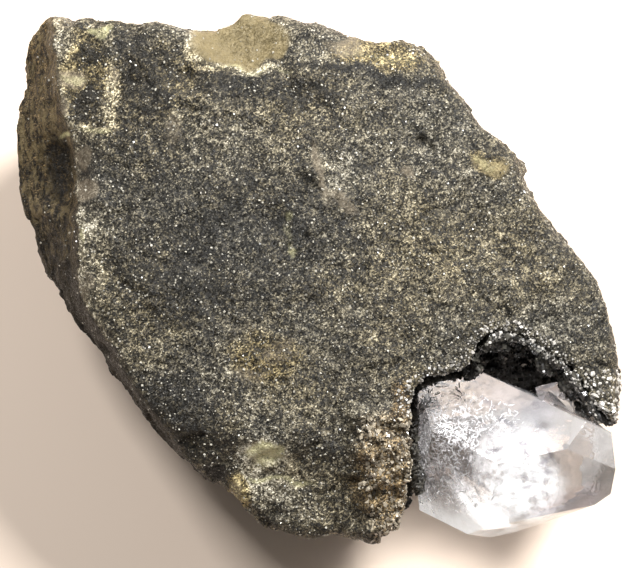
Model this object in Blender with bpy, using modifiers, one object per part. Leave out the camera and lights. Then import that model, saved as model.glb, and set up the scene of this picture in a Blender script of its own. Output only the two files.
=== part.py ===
"""Herkimer diamond in its host rock.

A clear, double-ended quartz crystal sits in an open vug at one corner of a broken block of
grey dolostone, and a crust of small crystals lines the vug.

Shapes are drawn in the frame of the block's broad broken face: u to the right, v up along
the face and w out of it, all in millimetres. The face leans towards the viewer, so the
finished meshes are turned by FACE_LEAN and the block is cut flat where it rests.
"""

import math
import random

import bmesh
import bpy
from mathutils import Euler, Matrix, Vector, noise

MM = 0.001

# Where the broad face stands over the flat resting spot.
FACE_LEAN = math.radians(15)
FACE_ORIGIN = Vector((0.3, -3.3, 35.0))
FACE_TO_WORLD = Matrix.Translation(FACE_ORIGIN * MM) @ Matrix.Rotation(FACE_LEAN, 4, "X")

# The block. Its outlines are seen along w and are star-shaped about BLOCK_CENTRE.
BLOCK_CENTRE = Vector((-3.0, 2.0))
BLOCK_STATIONS = 120
BLOCK_DEPTH = 56.0
FLANK_DEPTH = 12.0
BACK_SHARE = 0.52
BACK_ROUNDING = 1.35
FACE_RINGS = 24
FLANK_RINGS = (1.5, 4.0, 8.0, FLANK_DEPTH, 18.0, 25.0, 32.0, 40.0, 48.0, BLOCK_DEPTH)
FACE_RIM = [
    (-39.5, 39.9), (-32.3, 39.5), (-25.5, 38.9), (-18.0, 38.3), (-14.3, 38.8), (-11.0, 40.7),
    (-8.7, 40.2), (-4.2, 39.2), (-0.3, 38.1), (4.8, 36.9), (9.8, 36.5), (14.3, 35.3),
    (16.9, 34.1), (17.6, 32.1), (21.0, 28.1), (23.7, 23.7), (27.0, 21.6), (29.3, 18.3),
    (30.5, 14.6), (33.9, 9.5), (37.8, 5.1), (40.5, 1.8), (42.6, -1.1), (43.4, -6.9),
    (44.6, -12.6), (45.2, -17.4), (44.0, -22.2), (36.0, -26.2), (27.0, -29.4), (18.0, -32.0),
    (13.7, -33.6), (12.6, -35.4), (10.2, -35.6), (9.6, -37.7), (8.4, -39.2), (6.0, -38.6),
    (2.7, -37.4), (-3.0, -37.8), (-6.0, -37.5), (-8.7, -35.9), (-12.0, -32.7), (-15.3, -29.8),
    (-18.8, -26.7), (-22.5, -22.8), (-27.8, -16.2), (-30.3, -11.0), (-33.5, -5.4),
    (-36.0, -0.9), (-35.7, 7.4), (-36.9, 11.9), (-37.0, 20.1), (-39.2, 23.1), (-40.3, 30.0),
]
# The left flank swells past the rim. The last three points only close its outline inside it.
LEFT_FLANK = [
    (-42.4, 41.0), (-44.4, 36.0), (-44.4, 33.8), (-45.7, 28.6), (-45.8, 23.7), (-46.8, 17.8),
    (-46.0, 13.6), (-43.3, 7.0), (-41.3, 0.9), (-37.5, -5.5), (-32.8, -11.4), (-28.8, -16.3),
    (-25.3, -21.5), (-20.0, -27.3), (-16.4, -30.0), (0.0, -5.0), (5.0, 5.0), (0.0, 20.0),
]

# Under the quartz the flank is broken away, so that most of the crystal stands out over nothing.
UNDERCUT_TURN = math.radians(-49)
UNDERCUT_SPREAD = math.radians(22)
UNDERCUT_REACH = 14.0
UNDERCUT_START, UNDERCUT_RUN = 7.0, 10.0

COARSE_BREAK, MIDDLING_BREAK, FINE_BREAK = 11.0, 4.6, 3.0
SPLINTER_SHUFFLE = 7.3
GRAIN_SIZE = 1.1
SKIN = 0.25
BLOCK_TRIANGLES = 4700
CHIP_COUNT = 22
CHIP_BITE = 3.6

# The broad face: a low crown, then the ledge along its top, the toe below and the worn left
# side. Each of these drops away past a line v = level + slope * u, or u likewise.
CROWN_HEIGHT = 0.9
CROWN_CURVE = 0.0016
LEDGE_LEVEL, LEDGE_SLOPE, LEDGE_START, LEDGE_DROP = 33.2, -0.08, -3.0, 1.6
TOE_LEVEL, TOE_SLOPE, TOE_DROP, TOE_LEAN = -24.9, -0.18, 1.5, 0.14
LEFT_LEVEL, LEFT_SLOPE, LEFT_LEAN = -27.0, 0.1, 0.10
ARM_LEFT, ARM_TOP, ARM_HEIGHT, ARM_LUMPS, ARM_LUMP_SIZE = 4.0, -17.0, 1.1, 1.5, 3.4

# Dishes in the broad face: centre, half-widths and depth. First the scoop in the pale clast,
# then the bite in the left rim, then the pits.
DISHES = [
    ((-12.0, 38.5), (7.6, 7.0), 3.2), ((-38.5, 16.0), (4.2, 6.0), 2.6),
    ((-15.5, -28.8), (1.8, 1.8), 2.2), ((15.8, 21.3), (1.7, 1.5), 1.3),
    ((10.2, -34.2), (1.7, 1.7), 2.2), ((5.3, -29.6), (1.5, 1.5), 1.8),
    ((-20.0, 31.5), (2.6, 2.2), 1.1), ((12.5, -12.5), (2.2, 2.2), 1.2),
]

# The vug, open to the broad face and to the lower right side. Star-shaped about VUG_CENTRE.
VUG_CENTRE = Vector((29.0, -25.0))
VUG_STATIONS = 44
VUG_MOUTH = [
    (13.4, -16.4), (14.4, -15.0), (17.4, -13.8), (21.2, -13.0), (23.2, -11.0), (24.0, -8.6),
    (26.5, -7.0), (30.0, -7.4), (33.8, -9.6), (37.6, -12.8), (40.6, -16.2), (43.4, -20.6),
    (50.0, -23.0), (52.0, -40.0), (36.0, -48.0), (20.0, -50.0), (13.8, -46.0), (13.5, -30.0),
]
VUG_DEPTH = 20.0
VUG_SECTIONS = [(14.0, 1.0), (0.5, 1.0), (-2.5, 1.02), (-6.0, 1.09), (-11.0, 1.11),
                (-15.0, 1.02), (-18.0, 0.84), (-VUG_DEPTH, 0.55)]
VUG_ROUGHNESS = 1.2

# The quartz. Distances of its faces from the crystal's centre, in turn round the axis.
QUARTZ_CENTRE = Vector((29.7, -26.3, -9.3))
QUARTZ_TURN = math.radians(-25.5)
QUARTZ_TILT = math.radians(26.7)
QUARTZ_ROLL = math.radians(-25.1)
TERMINATION_ANGLE = math.radians(38.2)
PRISM_FACES = [9.9, 9.2, 10.1, 13.4, 10.6, 10.9]
OUTER_END_FACES = [16.2, 13.7, 9.6, 10.3, 10.0, 11.0]
INNER_END_FACES = [13.0, 16.1, 13.7, 16.6, 8.3, 5.7]
SEAT_GAP = 0.3

# Small quartz grown on the big crystal: centre, length, width and turn about w, in degrees.
SIDE_CRYSTALS = [((35.6, -17.6, -6.6), 7.4, 4.6, -32), ((15.6, -17.9, -7.8), 4.8, 3.4, 70)]
SIDE_CRYSTAL_RISE = 0.35
SIDE_CRYSTAL_ROLL = math.radians(12)

# The crust and its crystals. Those that reach through it are trimmed at TRIM_GAP from the wall.
CRUST_THICKNESS = 1.1
TRIM_GAP = 0.2
CRUST_CRYSTALS = 78
CRUST_CRYSTAL_SIZES = (1.2, 2.5)
CRUST_LIFT = 0.15
RHOMB_SHEAR = 0.28
RHOMB_REACH = 1.15
ARM_CRYSTALS = 50
ARM_CRYSTAL_SIZES = (1.3, 2.4)
ARM_LIFT = -0.1
SHARP_ANGLE = math.radians(25)
SEED = 13

COLOURS = {
    "matrix": ((0.155, 0.14, 0.118), 0.72),
    "vug_crust": ((0.30, 0.265, 0.21), 0.35),
    "quartz": ((0.93, 0.94, 0.95), 0.04),
}


def material(name):
    """A Principled material in the piece's own colour. The quartz one transmits light."""
    colour, roughness = COLOURS[name]
    made = bpy.data.materials.new(name)
    made.use_nodes = True
    shader = made.node_tree.nodes["Principled BSDF"]
    shader.inputs["Base Color"].default_value = (*colour, 1.0)
    shader.inputs["Roughness"].default_value = roughness
    shader.inputs["Metallic"].default_value = 0.0
    if name == "quartz":
        shader.inputs["Transmission Weight"].default_value = 1.0
        shader.inputs["IOR"].default_value = 1.544
    return made


def smooth_step(value):
    """0 to 1 with level ends, for a value from 0 to 1."""
    held = min(1.0, max(0.0, value))
    return held * held * (3 - 2 * held)


def reach(outline, centre, angle):
    """How far the outline lies from centre along angle, in the outline's own unit."""
    ray = Vector((math.cos(angle), math.sin(angle)))
    farthest = 0.0
    for here, there in zip(outline, outline[1:] + outline[:1]):
        start = Vector(here) - centre
        side = Vector(there) - Vector(here)
        across = ray.x * side.y - ray.y * side.x
        if abs(across) < 1e-9:
            continue
        distance = (start.x * side.y - start.y * side.x) / across
        share = (start.x * ray.y - start.y * ray.x) / across
        if distance > 0 and -1e-9 <= share <= 1 + 1e-9:
            farthest = max(farthest, distance)
    return farthest


def loft(rings):
    """A closed bmesh through rings of equal count, with a pole in the middle of each end. All
    its faces are split along the same diagonal, so that nested lofts keep their gap."""
    bm = bmesh.new()
    loops = [[bm.verts.new(point * MM) for point in ring] for ring in rings]
    count = len(loops[0])
    for upper, lower in zip(loops, loops[1:]):
        for i in range(count):
            after = (i + 1) % count
            bm.faces.new((upper[i], lower[i], lower[after]))
            bm.faces.new((upper[i], lower[after], upper[after]))
    for loop, first, second in ((loops[0], 0, 1), (loops[-1], 1, 0)):
        pole = bm.verts.new(sum((v.co for v in loop), Vector()) / count)
        for i in range(count):
            pair = (loop[(i + first) % count], loop[(i + second) % count])
            bm.faces.new((pole, *pair))
    bmesh.ops.recalc_face_normals(bm, faces=bm.faces)
    return bm


def object_from(bm, name, group):
    """A linked object that holds bm as its mesh."""
    mesh = bpy.data.meshes.new(name)
    bm.to_mesh(mesh)
    bm.free()
    made = bpy.data.objects.new(name, mesh)
    group.objects.link(made)
    return made


def apply_modifiers(obj):
    """Turns the object's evaluated mesh into its own mesh."""
    bpy.context.view_layer.update()
    graph = bpy.context.evaluated_depsgraph_get()
    mesh = bpy.data.meshes.new_from_object(obj.evaluated_get(graph))
    obj.modifiers.clear()
    obj.data = mesh


def combine(obj, operation, *others, solver="MANIFOLD"):
    """Cuts, joins or trims obj with each of the others in turn, which are used up. EXACT loses
    pieces among the many small rhombs, so the rock is cut and joined with MANIFOLD."""
    for other in others:
        boolean = obj.modifiers.new(operation.lower(), "BOOLEAN")
        boolean.operation = operation
        boolean.object = other
        boolean.solver = solver
        apply_modifiers(obj)
        bpy.data.objects.remove(other)


def bmesh_of(obj):
    """The object's mesh, as a bmesh."""
    bm = bmesh.new()
    bm.from_mesh(obj.data)
    return bm


def keep_largest_body(obj):
    """Deletes crumbs that a cut left loose, and keeps the largest connected piece."""
    bm = bmesh_of(obj)
    unseen = set(bm.verts)
    bodies = []
    while unseen:
        body = {unseen.pop()}
        edge = list(body)
        while edge:
            vert = edge.pop()
            near = {e.other_vert(vert) for e in vert.link_edges} & unseen
            unseen -= near
            body |= near
            edge.extend(near)
        bodies.append(body)
    largest = max(bodies, key=len)
    loose = [v for v in bm.verts if v not in largest]
    bmesh.ops.delete(bm, geom=loose, context="VERTS")
    bm.to_mesh(obj.data)
    bm.free()


def dish(place, centre, half_widths, depth):
    """How deep an oval dish with a soft edge is at place."""
    offset = place - Vector(centre)
    share = math.hypot(offset.x / half_widths[0], offset.y / half_widths[1])
    return depth * smooth_step((1.1 - share) / 0.55)


def face_relief(u, v):
    """How far the broad face stands out at (u, v)."""
    height = CROWN_HEIGHT - CROWN_CURVE * (u * u + v * v)
    past_ledge = v - LEDGE_LEVEL - LEDGE_SLOPE * u
    height -= LEDGE_DROP * smooth_step(past_ledge / 1.6) * smooth_step((u - LEDGE_START) / 3.0)
    past_toe = TOE_LEVEL + TOE_SLOPE * u - v
    height -= TOE_DROP * smooth_step(past_toe / 2.2) + TOE_LEAN * max(0.0, past_toe)
    height -= LEFT_LEAN * max(0.0, LEFT_LEVEL + LEFT_SLOPE * v - u)
    on_arm_zone = smooth_step((u - ARM_LEFT) / 3.0) * smooth_step((ARM_TOP - v) / 5.0)
    lumps = noise.noise(Vector((u / ARM_LUMP_SIZE, v / ARM_LUMP_SIZE, 2.0)))
    height += on_arm_zone * (ARM_HEIGHT + ARM_LUMPS * lumps)
    return height - sum(dish(Vector((u, v)), *shape) for shape in DISHES)


def block_radius(depth, rim, flank):
    """The block's reach at this depth below the face: out to the flank, then in to the back."""
    if depth < FLANK_DEPTH:
        return rim + (flank - rim) * math.sin(depth / FLANK_DEPTH * math.pi / 2)
    share = (depth - FLANK_DEPTH) / (BLOCK_DEPTH - FLANK_DEPTH)
    return flank * (1 - share ** BACK_ROUNDING * (1 - BACK_SHARE))


def undercut(angle, depth):
    """How far the flank is broken away at this angle and depth."""
    away = abs(math.remainder(angle - UNDERCUT_TURN, 2 * math.pi)) / UNDERCUT_SPREAD
    below = smooth_step((depth - UNDERCUT_START) / UNDERCUT_RUN)
    return UNDERCUT_REACH * smooth_step(1.6 * (1 - away)) * below


def block_rings():
    """Rings from the middle of the broad face, over its rim and down to the back."""
    angles = [-2 * math.pi * i / BLOCK_STATIONS for i in range(BLOCK_STATIONS)]
    rims = [reach(FACE_RIM, BLOCK_CENTRE, angle) for angle in angles]
    flanks = [
        max(reach(LEFT_FLANK, BLOCK_CENTRE, angle), rim)
        for angle, rim in zip(angles, rims)
    ]
    rings = []
    for step in range(1, FACE_RINGS + 1):
        share = step / FACE_RINGS
        ring = []
        for angle, rim in zip(angles, rims):
            u = BLOCK_CENTRE.x + share * rim * math.cos(angle)
            v = BLOCK_CENTRE.y + share * rim * math.sin(angle)
            ring.append(Vector((u, v, face_relief(u, v))))
        rings.append(ring)
    rim_heights = [point.z for point in rings[-1]]
    for depth in FLANK_RINGS:
        ring = []
        for angle, rim, flank, height in zip(angles, rims, flanks, rim_heights):
            radius = block_radius(depth, rim, flank) - undercut(angle, depth)
            u = BLOCK_CENTRE.x + radius * math.cos(angle)
            v = BLOCK_CENTRE.y + radius * math.sin(angle)
            settled = height * (1 - smooth_step(depth / FLANK_DEPTH))
            ring.append(Vector((u, v, settled - depth)))
        rings.append(ring)
    return rings


def slice_off(bm, point, normal):
    """Cuts away what lies past a plane, and closes the cut."""
    cut = bmesh.ops.bisect_plane(
        bm,
        geom=bm.verts[:] + bm.edges[:] + bm.faces[:],
        plane_co=point,
        plane_no=normal,
        clear_outer=True,
    )
    border = [e for e in cut["geom_cut"] if isinstance(e, bmesh.types.BMEdge)]
    if border:
        bmesh.ops.holes_fill(bm, edges=border)


def chip_corners(bm, rng):
    """Breaks flat fracture faces off the back, clear of the outline seen along w."""
    outline = [Vector((u, v, 0.8)) * MM for u, v in FACE_RIM]
    outline += [Vector((u, v, -FLANK_DEPTH)) * MM for u, v in FACE_RIM + LEFT_FLANK]
    for _ in range(CHIP_COUNT):
        turn = rng.uniform(0, 2 * math.pi)
        back = rng.uniform(0.2, 1.3)
        normal = Vector((math.cos(turn), math.sin(turn), -back)).normalized()
        standing = max(normal.dot(v.co) for v in bm.verts)
        distance = max(
            standing - CHIP_BITE * MM * rng.uniform(0.5, 1.8),
            max(normal.dot(point) for point in outline) + 0.3 * MM,
        )
        if distance < standing:
            slice_off(bm, normal * distance, normal)


def splinter(place, cell):
    """Height of a broken surface of flat splinters, each cell wide and tilted its own way."""
    at = place / cell
    seed = noise.voronoi(at)[1][0]
    return (at - seed).dot(noise.noise_vector(seed * SPLINTER_SHUFFLE)) * cell


def roughen(obj):
    """Moves the block's points in and out with the rock's own coarse and fine breaks."""
    mesh = obj.data
    for vert, normal in zip(mesh.vertices, [n.vector.copy() for n in mesh.vertex_normals]):
        place = vert.co / MM
        off_face = smooth_step((-0.5 - place.z) / 6.0)
        behind = smooth_step((-FLANK_DEPTH - place.z) / 6.0)
        coarse = splinter(place, COARSE_BREAK) * (0.10 + 0.10 * off_face + 0.22 * behind)
        middling = splinter(place, MIDDLING_BREAK) * (0.10 + 0.14 * off_face)
        fine = noise.fractal(place / FINE_BREAK, 0.9, 2.1, 3) * (0.22 + 0.12 * off_face)
        vert.co += normal * (coarse + middling + fine + SKIN) * MM


def vug_cutter(name, inset, group):
    """The vug's hollow, taken in by inset on all sides: the mouth's outline carried down."""
    rings = []
    for w, share in VUG_SECTIONS:
        ring = []
        for i in range(VUG_STATIONS):
            angle = -2 * math.pi * i / VUG_STATIONS
            radius = reach(VUG_MOUTH, VUG_CENTRE, angle) * share
            place = Vector((math.cos(angle) * 2.2, math.sin(angle) * 2.2, w / 5.0))
            wobble = noise.fractal(place, 1.0, 2.0, 3) * VUG_ROUGHNESS
            radius = max(1.0, radius + wobble - inset)
            depth = w if w > 0 else w * (1 - inset / VUG_DEPTH)
            u = VUG_CENTRE.x + radius * math.cos(angle)
            v = VUG_CENTRE.y + radius * math.sin(angle)
            ring.append(Vector((u, v, depth)))
        rings.append(ring)
    return object_from(loft(rings), name, group)


def faced_solid(name, faces, group):
    """The solid that all the (normal, distance) faces leave of a large cube."""
    bm = bmesh.new()
    bmesh.ops.create_cube(bm, size=90 * MM)
    for normal, distance in faces:
        slice_off(bm, normal * distance * MM, normal)
    bmesh.ops.remove_doubles(bm, verts=bm.verts, dist=0.02 * MM)
    bmesh.ops.dissolve_limit(bm, angle_limit=0.002, verts=bm.verts, edges=bm.edges)
    bmesh.ops.recalc_face_normals(bm, faces=bm.faces)
    return object_from(bm, name, group)


def quartz_faces(axis, side, roll, prism, outer_end, inner_end, grown):
    """(normal, distance) of the six prism faces and of the six faces at either end."""
    across = axis.cross(side)
    faces = []
    for k in range(6):
        turn = roll + math.radians(30 + 60 * k)
        flat = math.cos(turn) * side + math.sin(turn) * across
        lean = math.cos(TERMINATION_ANGLE) * flat
        point = math.sin(TERMINATION_ANGLE) * axis
        faces.append((flat, prism[k] + grown))
        faces.append((lean + point, outer_end[k] + grown))
        faces.append((lean - point, inner_end[k] + grown))
    return faces


def big_quartz(name, grown, group):
    """The double-ended crystal, with its faces moved out by grown."""
    turned = Vector((math.cos(QUARTZ_TURN), math.sin(QUARTZ_TURN), 0))
    axis = turned * math.cos(QUARTZ_TILT) + Vector((0, 0, math.sin(QUARTZ_TILT)))
    side = Vector((-math.sin(QUARTZ_TURN), math.cos(QUARTZ_TURN), 0))
    faces = quartz_faces(
        axis, side, QUARTZ_ROLL, PRISM_FACES, OUTER_END_FACES, INNER_END_FACES, grown
    )
    made = faced_solid(name, faces, group)
    made.data.transform(Matrix.Translation(QUARTZ_CENTRE * MM))
    return made


def side_quartz(name, centre, length, width, turn, grown, group):
    """A small double-ended crystal beside the big one."""
    angle = math.radians(turn)
    axis = Vector((math.cos(angle), math.sin(angle), SIDE_CRYSTAL_RISE)).normalized()
    side = Vector((-math.sin(angle), math.cos(angle), 0))
    end = length / 2 * math.sin(TERMINATION_ANGLE)
    prism = [width / 2 * (1 + 0.1 * (k % 3)) for k in range(6)]
    ends = [end * (1 + 0.12 * (k % 2)) for k in range(6)]
    faces = quartz_faces(axis, side, SIDE_CRYSTAL_ROLL, prism, ends, ends, grown)
    made = faced_solid(name, faces, group)
    made.data.transform(Matrix.Translation(Vector(centre) * MM))
    return made


def quartz(name, grown, group):
    """The big crystal with the small ones grown on it, as one solid."""
    made = big_quartz(name, grown, group)
    for i, (centre, length, width, turn) in enumerate(SIDE_CRYSTALS):
        small = side_quartz(f"small_{i}", centre, length, width, turn, grown, group)
        combine(made, "UNION", small, solver="EXACT")
    return made


def rhomb(bm, place, outward, size, rng):
    """Adds one small dolomite rhomb to bm, standing on the wall at place."""
    shear = Matrix.Shear("XY", 4, (RHOMB_SHEAR, RHOMB_SHEAR * 0.6))
    tip = outward.to_track_quat("Z", "Y").to_matrix().to_4x4()
    lean = Euler([rng.uniform(-0.7, 0.7) for _ in range(3)]).to_matrix().to_4x4()
    corner = Euler((math.radians(45), math.radians(35.3), 0)).to_matrix().to_4x4()
    scale = Matrix.Diagonal((size, size * rng.uniform(0.8, 1.1), size * rng.uniform(0.8, 1.2), 1))
    seat = Matrix.Translation(place)
    bmesh.ops.create_cube(bm, size=1.0, matrix=seat @ tip @ lean @ corner @ shear @ scale)


def druse(host, count, sizes, lift, wanted, inward, rng, group):
    """Rhombs spread over the host's faces that pass the wanted test, each with its middle
    lift of its size above the face. Each object returned holds rhombs that stand apart."""
    mesh = host.data
    mesh.calc_loop_triangles()
    spots = []
    areas = []
    for triangle in mesh.loop_triangles:
        corners = [mesh.vertices[i].co for i in triangle.vertices]
        middle = sum(corners, Vector()) / 3
        if wanted(middle / MM, triangle.normal):
            spots.append((corners, triangle.normal.copy()))
            areas.append(triangle.area)
    rounds = []
    for corners, normal in rng.choices(spots, areas, k=count):
        first, second = sorted((rng.random(), rng.random()))
        spot = corners[0] * first + corners[1] * (second - first) + corners[2] * (1 - second)
        size = rng.uniform(*sizes) * MM
        outward = -normal if inward else normal
        place = spot + outward * size * lift
        for members in rounds:
            if all((place - p).length > RHOMB_REACH * (size + s) for p, s, _ in members):
                members.append((place, size, outward))
                break
        else:
            rounds.append([(place, size, outward)])
    made = []
    for members in rounds:
        bm = bmesh.new()
        for place, size, outward in members:
            rhomb(bm, place, outward, size, rng)
        made.append(object_from(bm, "rhombs", group))
    return made


def on_arm(place, normal):
    """True on the crystal-covered arm beside the vug's lower left wall and on the right lip."""
    arm = place.x > 5.5 - 0.12 * (place.y + 25) and -39.5 < place.y < -19 and place.x < 15
    lip = 40.5 < place.x < 43.4 and -26 < place.y < -14
    return (arm or lip) and place.z > -14 and normal.z > -0.2


def remesh(obj):
    """Rebuilds the object's mesh from cubes of the grain's size, as one clean skin."""
    modifier = obj.modifiers.new("grain", "REMESH")
    modifier.mode = "VOXEL"
    modifier.voxel_size = GRAIN_SIZE * MM
    apply_modifiers(obj)


def make_block(group, rng):
    """The rough block before the vug is cut."""
    bm = loft(block_rings())
    chip_corners(bm, rng)
    block = object_from(bm, "matrix", group)
    remesh(block)
    roughen(block)
    remesh(block)
    decimate = block.modifiers.new("planes", "DECIMATE")
    decimate.ratio = BLOCK_TRIANGLES / (2.0 * len(block.data.polygons))
    apply_modifiers(block)
    return block


def cut_resting_flat(obj):
    """Cuts the block level at z = 0, where it rests."""
    bm = bmesh_of(obj)
    slice_off(bm, Vector(), Vector((0, 0, -1)))
    bmesh.ops.recalc_face_normals(bm, faces=bm.faces)
    bm.to_mesh(obj.data)
    bm.free()


def on_vug_wall(place, normal):
    """True on the stretch of the vug's wall that lies inside the block."""
    offset = Vector((place.x, place.y)) - BLOCK_CENTRE
    angle = math.atan2(offset.y, offset.x)
    standing = reach(FACE_RIM, BLOCK_CENTRE, angle) - undercut(angle, -place.z)
    return place.z < 0.5 and offset.length < standing - 1.0


def make_crust(block, pieces, cutters, rng):
    """The thin crust along the vug's wall, with its rhombs, trimmed to the block and quartz."""
    crust = vug_cutter("vug_crust", SEAT_GAP, pieces)
    hollow = vug_cutter("hollow", SEAT_GAP + CRUST_THICKNESS, cutters)
    rhombs = druse(
        hollow, CRUST_CRYSTALS, CRUST_CRYSTAL_SIZES, CRUST_LIFT, on_vug_wall, True, rng, cutters
    )
    uncut = object_from(bmesh_of(block), "uncut", cutters)
    combine(crust, "DIFFERENCE", hollow)
    combine(crust, "INTERSECT", uncut)
    combine(crust, "UNION", *rhombs)
    combine(crust, "INTERSECT", vug_cutter("bounds", TRIM_GAP, cutters))
    combine(crust, "DIFFERENCE", quartz("seat", SEAT_GAP, cutters))
    keep_largest_body(crust)
    return crust


def cut_vug(block, cutters, rng):
    """Grows the rhombs on the block's arm, then cuts the vug and the quartz's seat in it."""
    rhombs = druse(
        block, ARM_CRYSTALS, ARM_CRYSTAL_SIZES, ARM_LIFT, on_arm, False, rng, cutters
    )
    combine(block, "UNION", *rhombs)
    combine(block, "DIFFERENCE", vug_cutter("vug", 0.0, cutters))
    combine(block, "DIFFERENCE", quartz("seat", SEAT_GAP, cutters))
    keep_largest_body(block)


def collection(name):
    """A new collection in the scene."""
    made = bpy.data.collections.new(name)
    bpy.context.scene.collection.children.link(made)
    return made


def main():
    """Builds the three pieces."""
    for obj in list(bpy.data.objects):
        bpy.data.objects.remove(obj)
    pieces = collection("herkimer_diamond")
    cutters = collection("cutters")
    cutters.hide_render = True
    rng = random.Random(SEED)
    noise.seed_set(SEED)

    block = make_block(pieces, rng)
    crust = make_crust(block, pieces, cutters, rng)
    cut_vug(block, cutters, rng)
    crystal = quartz("quartz", 0.0, pieces)

    for obj in (block, crust, crystal):
        obj.data.transform(FACE_TO_WORLD)
        obj.data.materials.clear()
        obj.data.materials.append(material(obj.name))
    cut_resting_flat(block)
    for obj in (block, crust, crystal):
        obj.data.set_sharp_from_angle(angle=SHARP_ANGLE)


main()
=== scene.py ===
"""Looks for a herkimer diamond in its host rock.

A clear, double-ended quartz crystal sits in a crystal-lined vug at one corner of a broken block
of sugary grey dolostone. The block, the vug's lining and the quartz are remade in fine detail
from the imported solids, and small crystals are grown over them.

Places on the specimen are given in the frame of the block's broad broken face, in millimetres:
u to the right, v up along the face and w out of it.
"""

from __future__ import annotations

import logging
import math
from dataclasses import dataclass, field
from enum import Enum
from typing import Any, Sequence

import bmesh
import bpy
import numpy as np
from mathutils import Matrix, Vector, noise

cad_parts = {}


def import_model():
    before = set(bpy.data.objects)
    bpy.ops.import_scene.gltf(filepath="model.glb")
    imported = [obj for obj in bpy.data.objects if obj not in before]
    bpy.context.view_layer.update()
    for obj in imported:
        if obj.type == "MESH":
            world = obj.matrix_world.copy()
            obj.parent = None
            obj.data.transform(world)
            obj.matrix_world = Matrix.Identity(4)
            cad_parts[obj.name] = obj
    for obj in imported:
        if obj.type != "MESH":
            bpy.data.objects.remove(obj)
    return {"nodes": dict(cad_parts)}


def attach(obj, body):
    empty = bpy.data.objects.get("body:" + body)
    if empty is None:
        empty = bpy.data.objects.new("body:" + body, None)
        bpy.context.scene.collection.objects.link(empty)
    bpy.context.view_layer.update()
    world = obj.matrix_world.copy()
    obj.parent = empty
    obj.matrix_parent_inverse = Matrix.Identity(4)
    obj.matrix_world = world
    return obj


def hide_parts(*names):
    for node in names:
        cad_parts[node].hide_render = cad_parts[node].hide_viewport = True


log = logging.getLogger("herkimer_diamond")

MM = 0.001
BODY = "root"
SEED = 13
MERGE_DISTANCE = 0.002 * MM

Pair = Place = tuple[float, float]
Triple = Colour = tuple[float, float, float]
BLACK: Colour = (0.0, 0.0, 0.0)


# ---------------------------------------------------------------- frame and meshes


@dataclass(frozen=True)
class FaceFrame:
    """The frame of the block's broad broken face."""

    lean: float = math.radians(15.0)
    origin: Triple = (0.3, -3.3, 35.0)

    def matrix(self) -> Matrix:
        """Returns the turn and shift from the face's frame to the row frame, in metres."""
        return Matrix.Translation(Vector(self.origin) * MM) @ Matrix.Rotation(self.lean, 4, "X")

    def from_row(self, points: np.ndarray) -> np.ndarray:
        """Gives points of the row frame in the face's frame.

        Args:
            points: An (n, 3) array in metres.

        Returns:
            An (n, 3) array of u, v, w in millimetres.
        """
        turned = np.array(self.matrix().inverted())
        return (points @ turned[:3, :3].T + turned[:3, 3]) / MM

    def outward(self) -> np.ndarray:
        """Returns the direction straight out of the face, in the row frame."""
        return np.array(self.matrix())[:3, 2]


FACE = FaceFrame()


def smooth_step(values: np.ndarray) -> np.ndarray:
    """Gives 0 to 1 with level ends, for values from 0 to 1."""
    held = np.clip(values, 0.0, 1.0)
    return held * held * (3 - 2 * held)


def above(values: np.ndarray, start: float, width: float) -> np.ndarray:
    """Gives 0 up to the start and 1 from a width above it."""
    return smooth_step((values - start) / width)


def below(values: np.ndarray, end: float, width: float) -> np.ndarray:
    """Gives 0 from the end on and 1 from a width below it."""
    return smooth_step((end - values) / width)


def lumpy(places: np.ndarray, size: float) -> np.ndarray:
    """Gives a smooth noise, in lumps of that size, at each place."""
    return np.array([noise.noise(Vector(p) / size) for p in places])


def rough(places: np.ndarray, size: float, fall: float, gap: float) -> np.ndarray:
    """Gives a three-step fractal noise at each place.

    Args:
        places: An (n, 3) array.
        size: The size of its largest lumps.
        fall: How fast its finer steps weaken.
        gap: How much finer each step is than the one before.

    Returns:
        An array of n numbers about 0.
    """
    return np.array([noise.fractal(Vector(p) / size, fall, gap, 3) for p in places])


def shifts(places: np.ndarray, size: float, reach: float) -> np.ndarray:
    """Gives each place a small shift along u and v, which makes outlines irregular."""
    return np.array([noise.noise_vector(Vector(p) / size)[:2] for p in places]) * reach


def read_vectors(items: Any, key: str) -> np.ndarray:
    """Reads a vector from each item.

    Args:
        items: A collection of the mesh, such as its vertices.
        key: The vector's name.

    Returns:
        An (n, 3) array.
    """
    flat = np.empty(len(items) * 3)
    items.foreach_get(key, flat)
    return flat.reshape(-1, 3)


def points_of(mesh: bpy.types.Mesh) -> np.ndarray:
    """Reads a mesh's points as an (n, 3) array, in metres."""
    return read_vectors(mesh.vertices, "co")


def normals_of(mesh: bpy.types.Mesh) -> np.ndarray:
    """Reads a mesh's point normals as an (n, 3) array."""
    return read_vectors(mesh.vertex_normals, "vector")


def move_points(mesh: bpy.types.Mesh, points: np.ndarray) -> None:
    """Puts a mesh's points where the (n, 3) array says, in metres."""
    mesh.vertices.foreach_set("co", points.ravel())
    mesh.update()


def set_attribute(mesh: bpy.types.Mesh, name: str, values: np.ndarray) -> None:
    """Stores one number for each point of the mesh."""
    made = mesh.attributes.new(name, "FLOAT", "POINT")
    made.data.foreach_set("value", values.astype(np.float32))


def link(name: str, data: bpy.types.ID) -> bpy.types.Object:
    """Makes an object and links it to the scene.

    Args:
        name: The object's name.
        data: Its mesh, light or camera.

    Returns:
        The new object.
    """
    made = bpy.data.objects.new(name, data)
    bpy.context.scene.collection.objects.link(made)
    return made


def link_bmesh(name: str, bm: bmesh.types.BMesh) -> bpy.types.Object:
    """Makes an object from a bmesh and links it to the scene.

    Args:
        name: The object's name.
        bm: The bmesh, which is freed.

    Returns:
        The new object.
    """
    mesh = bpy.data.meshes.new(name)
    bm.to_mesh(mesh)
    bm.free()
    return link(name, mesh)


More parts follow.
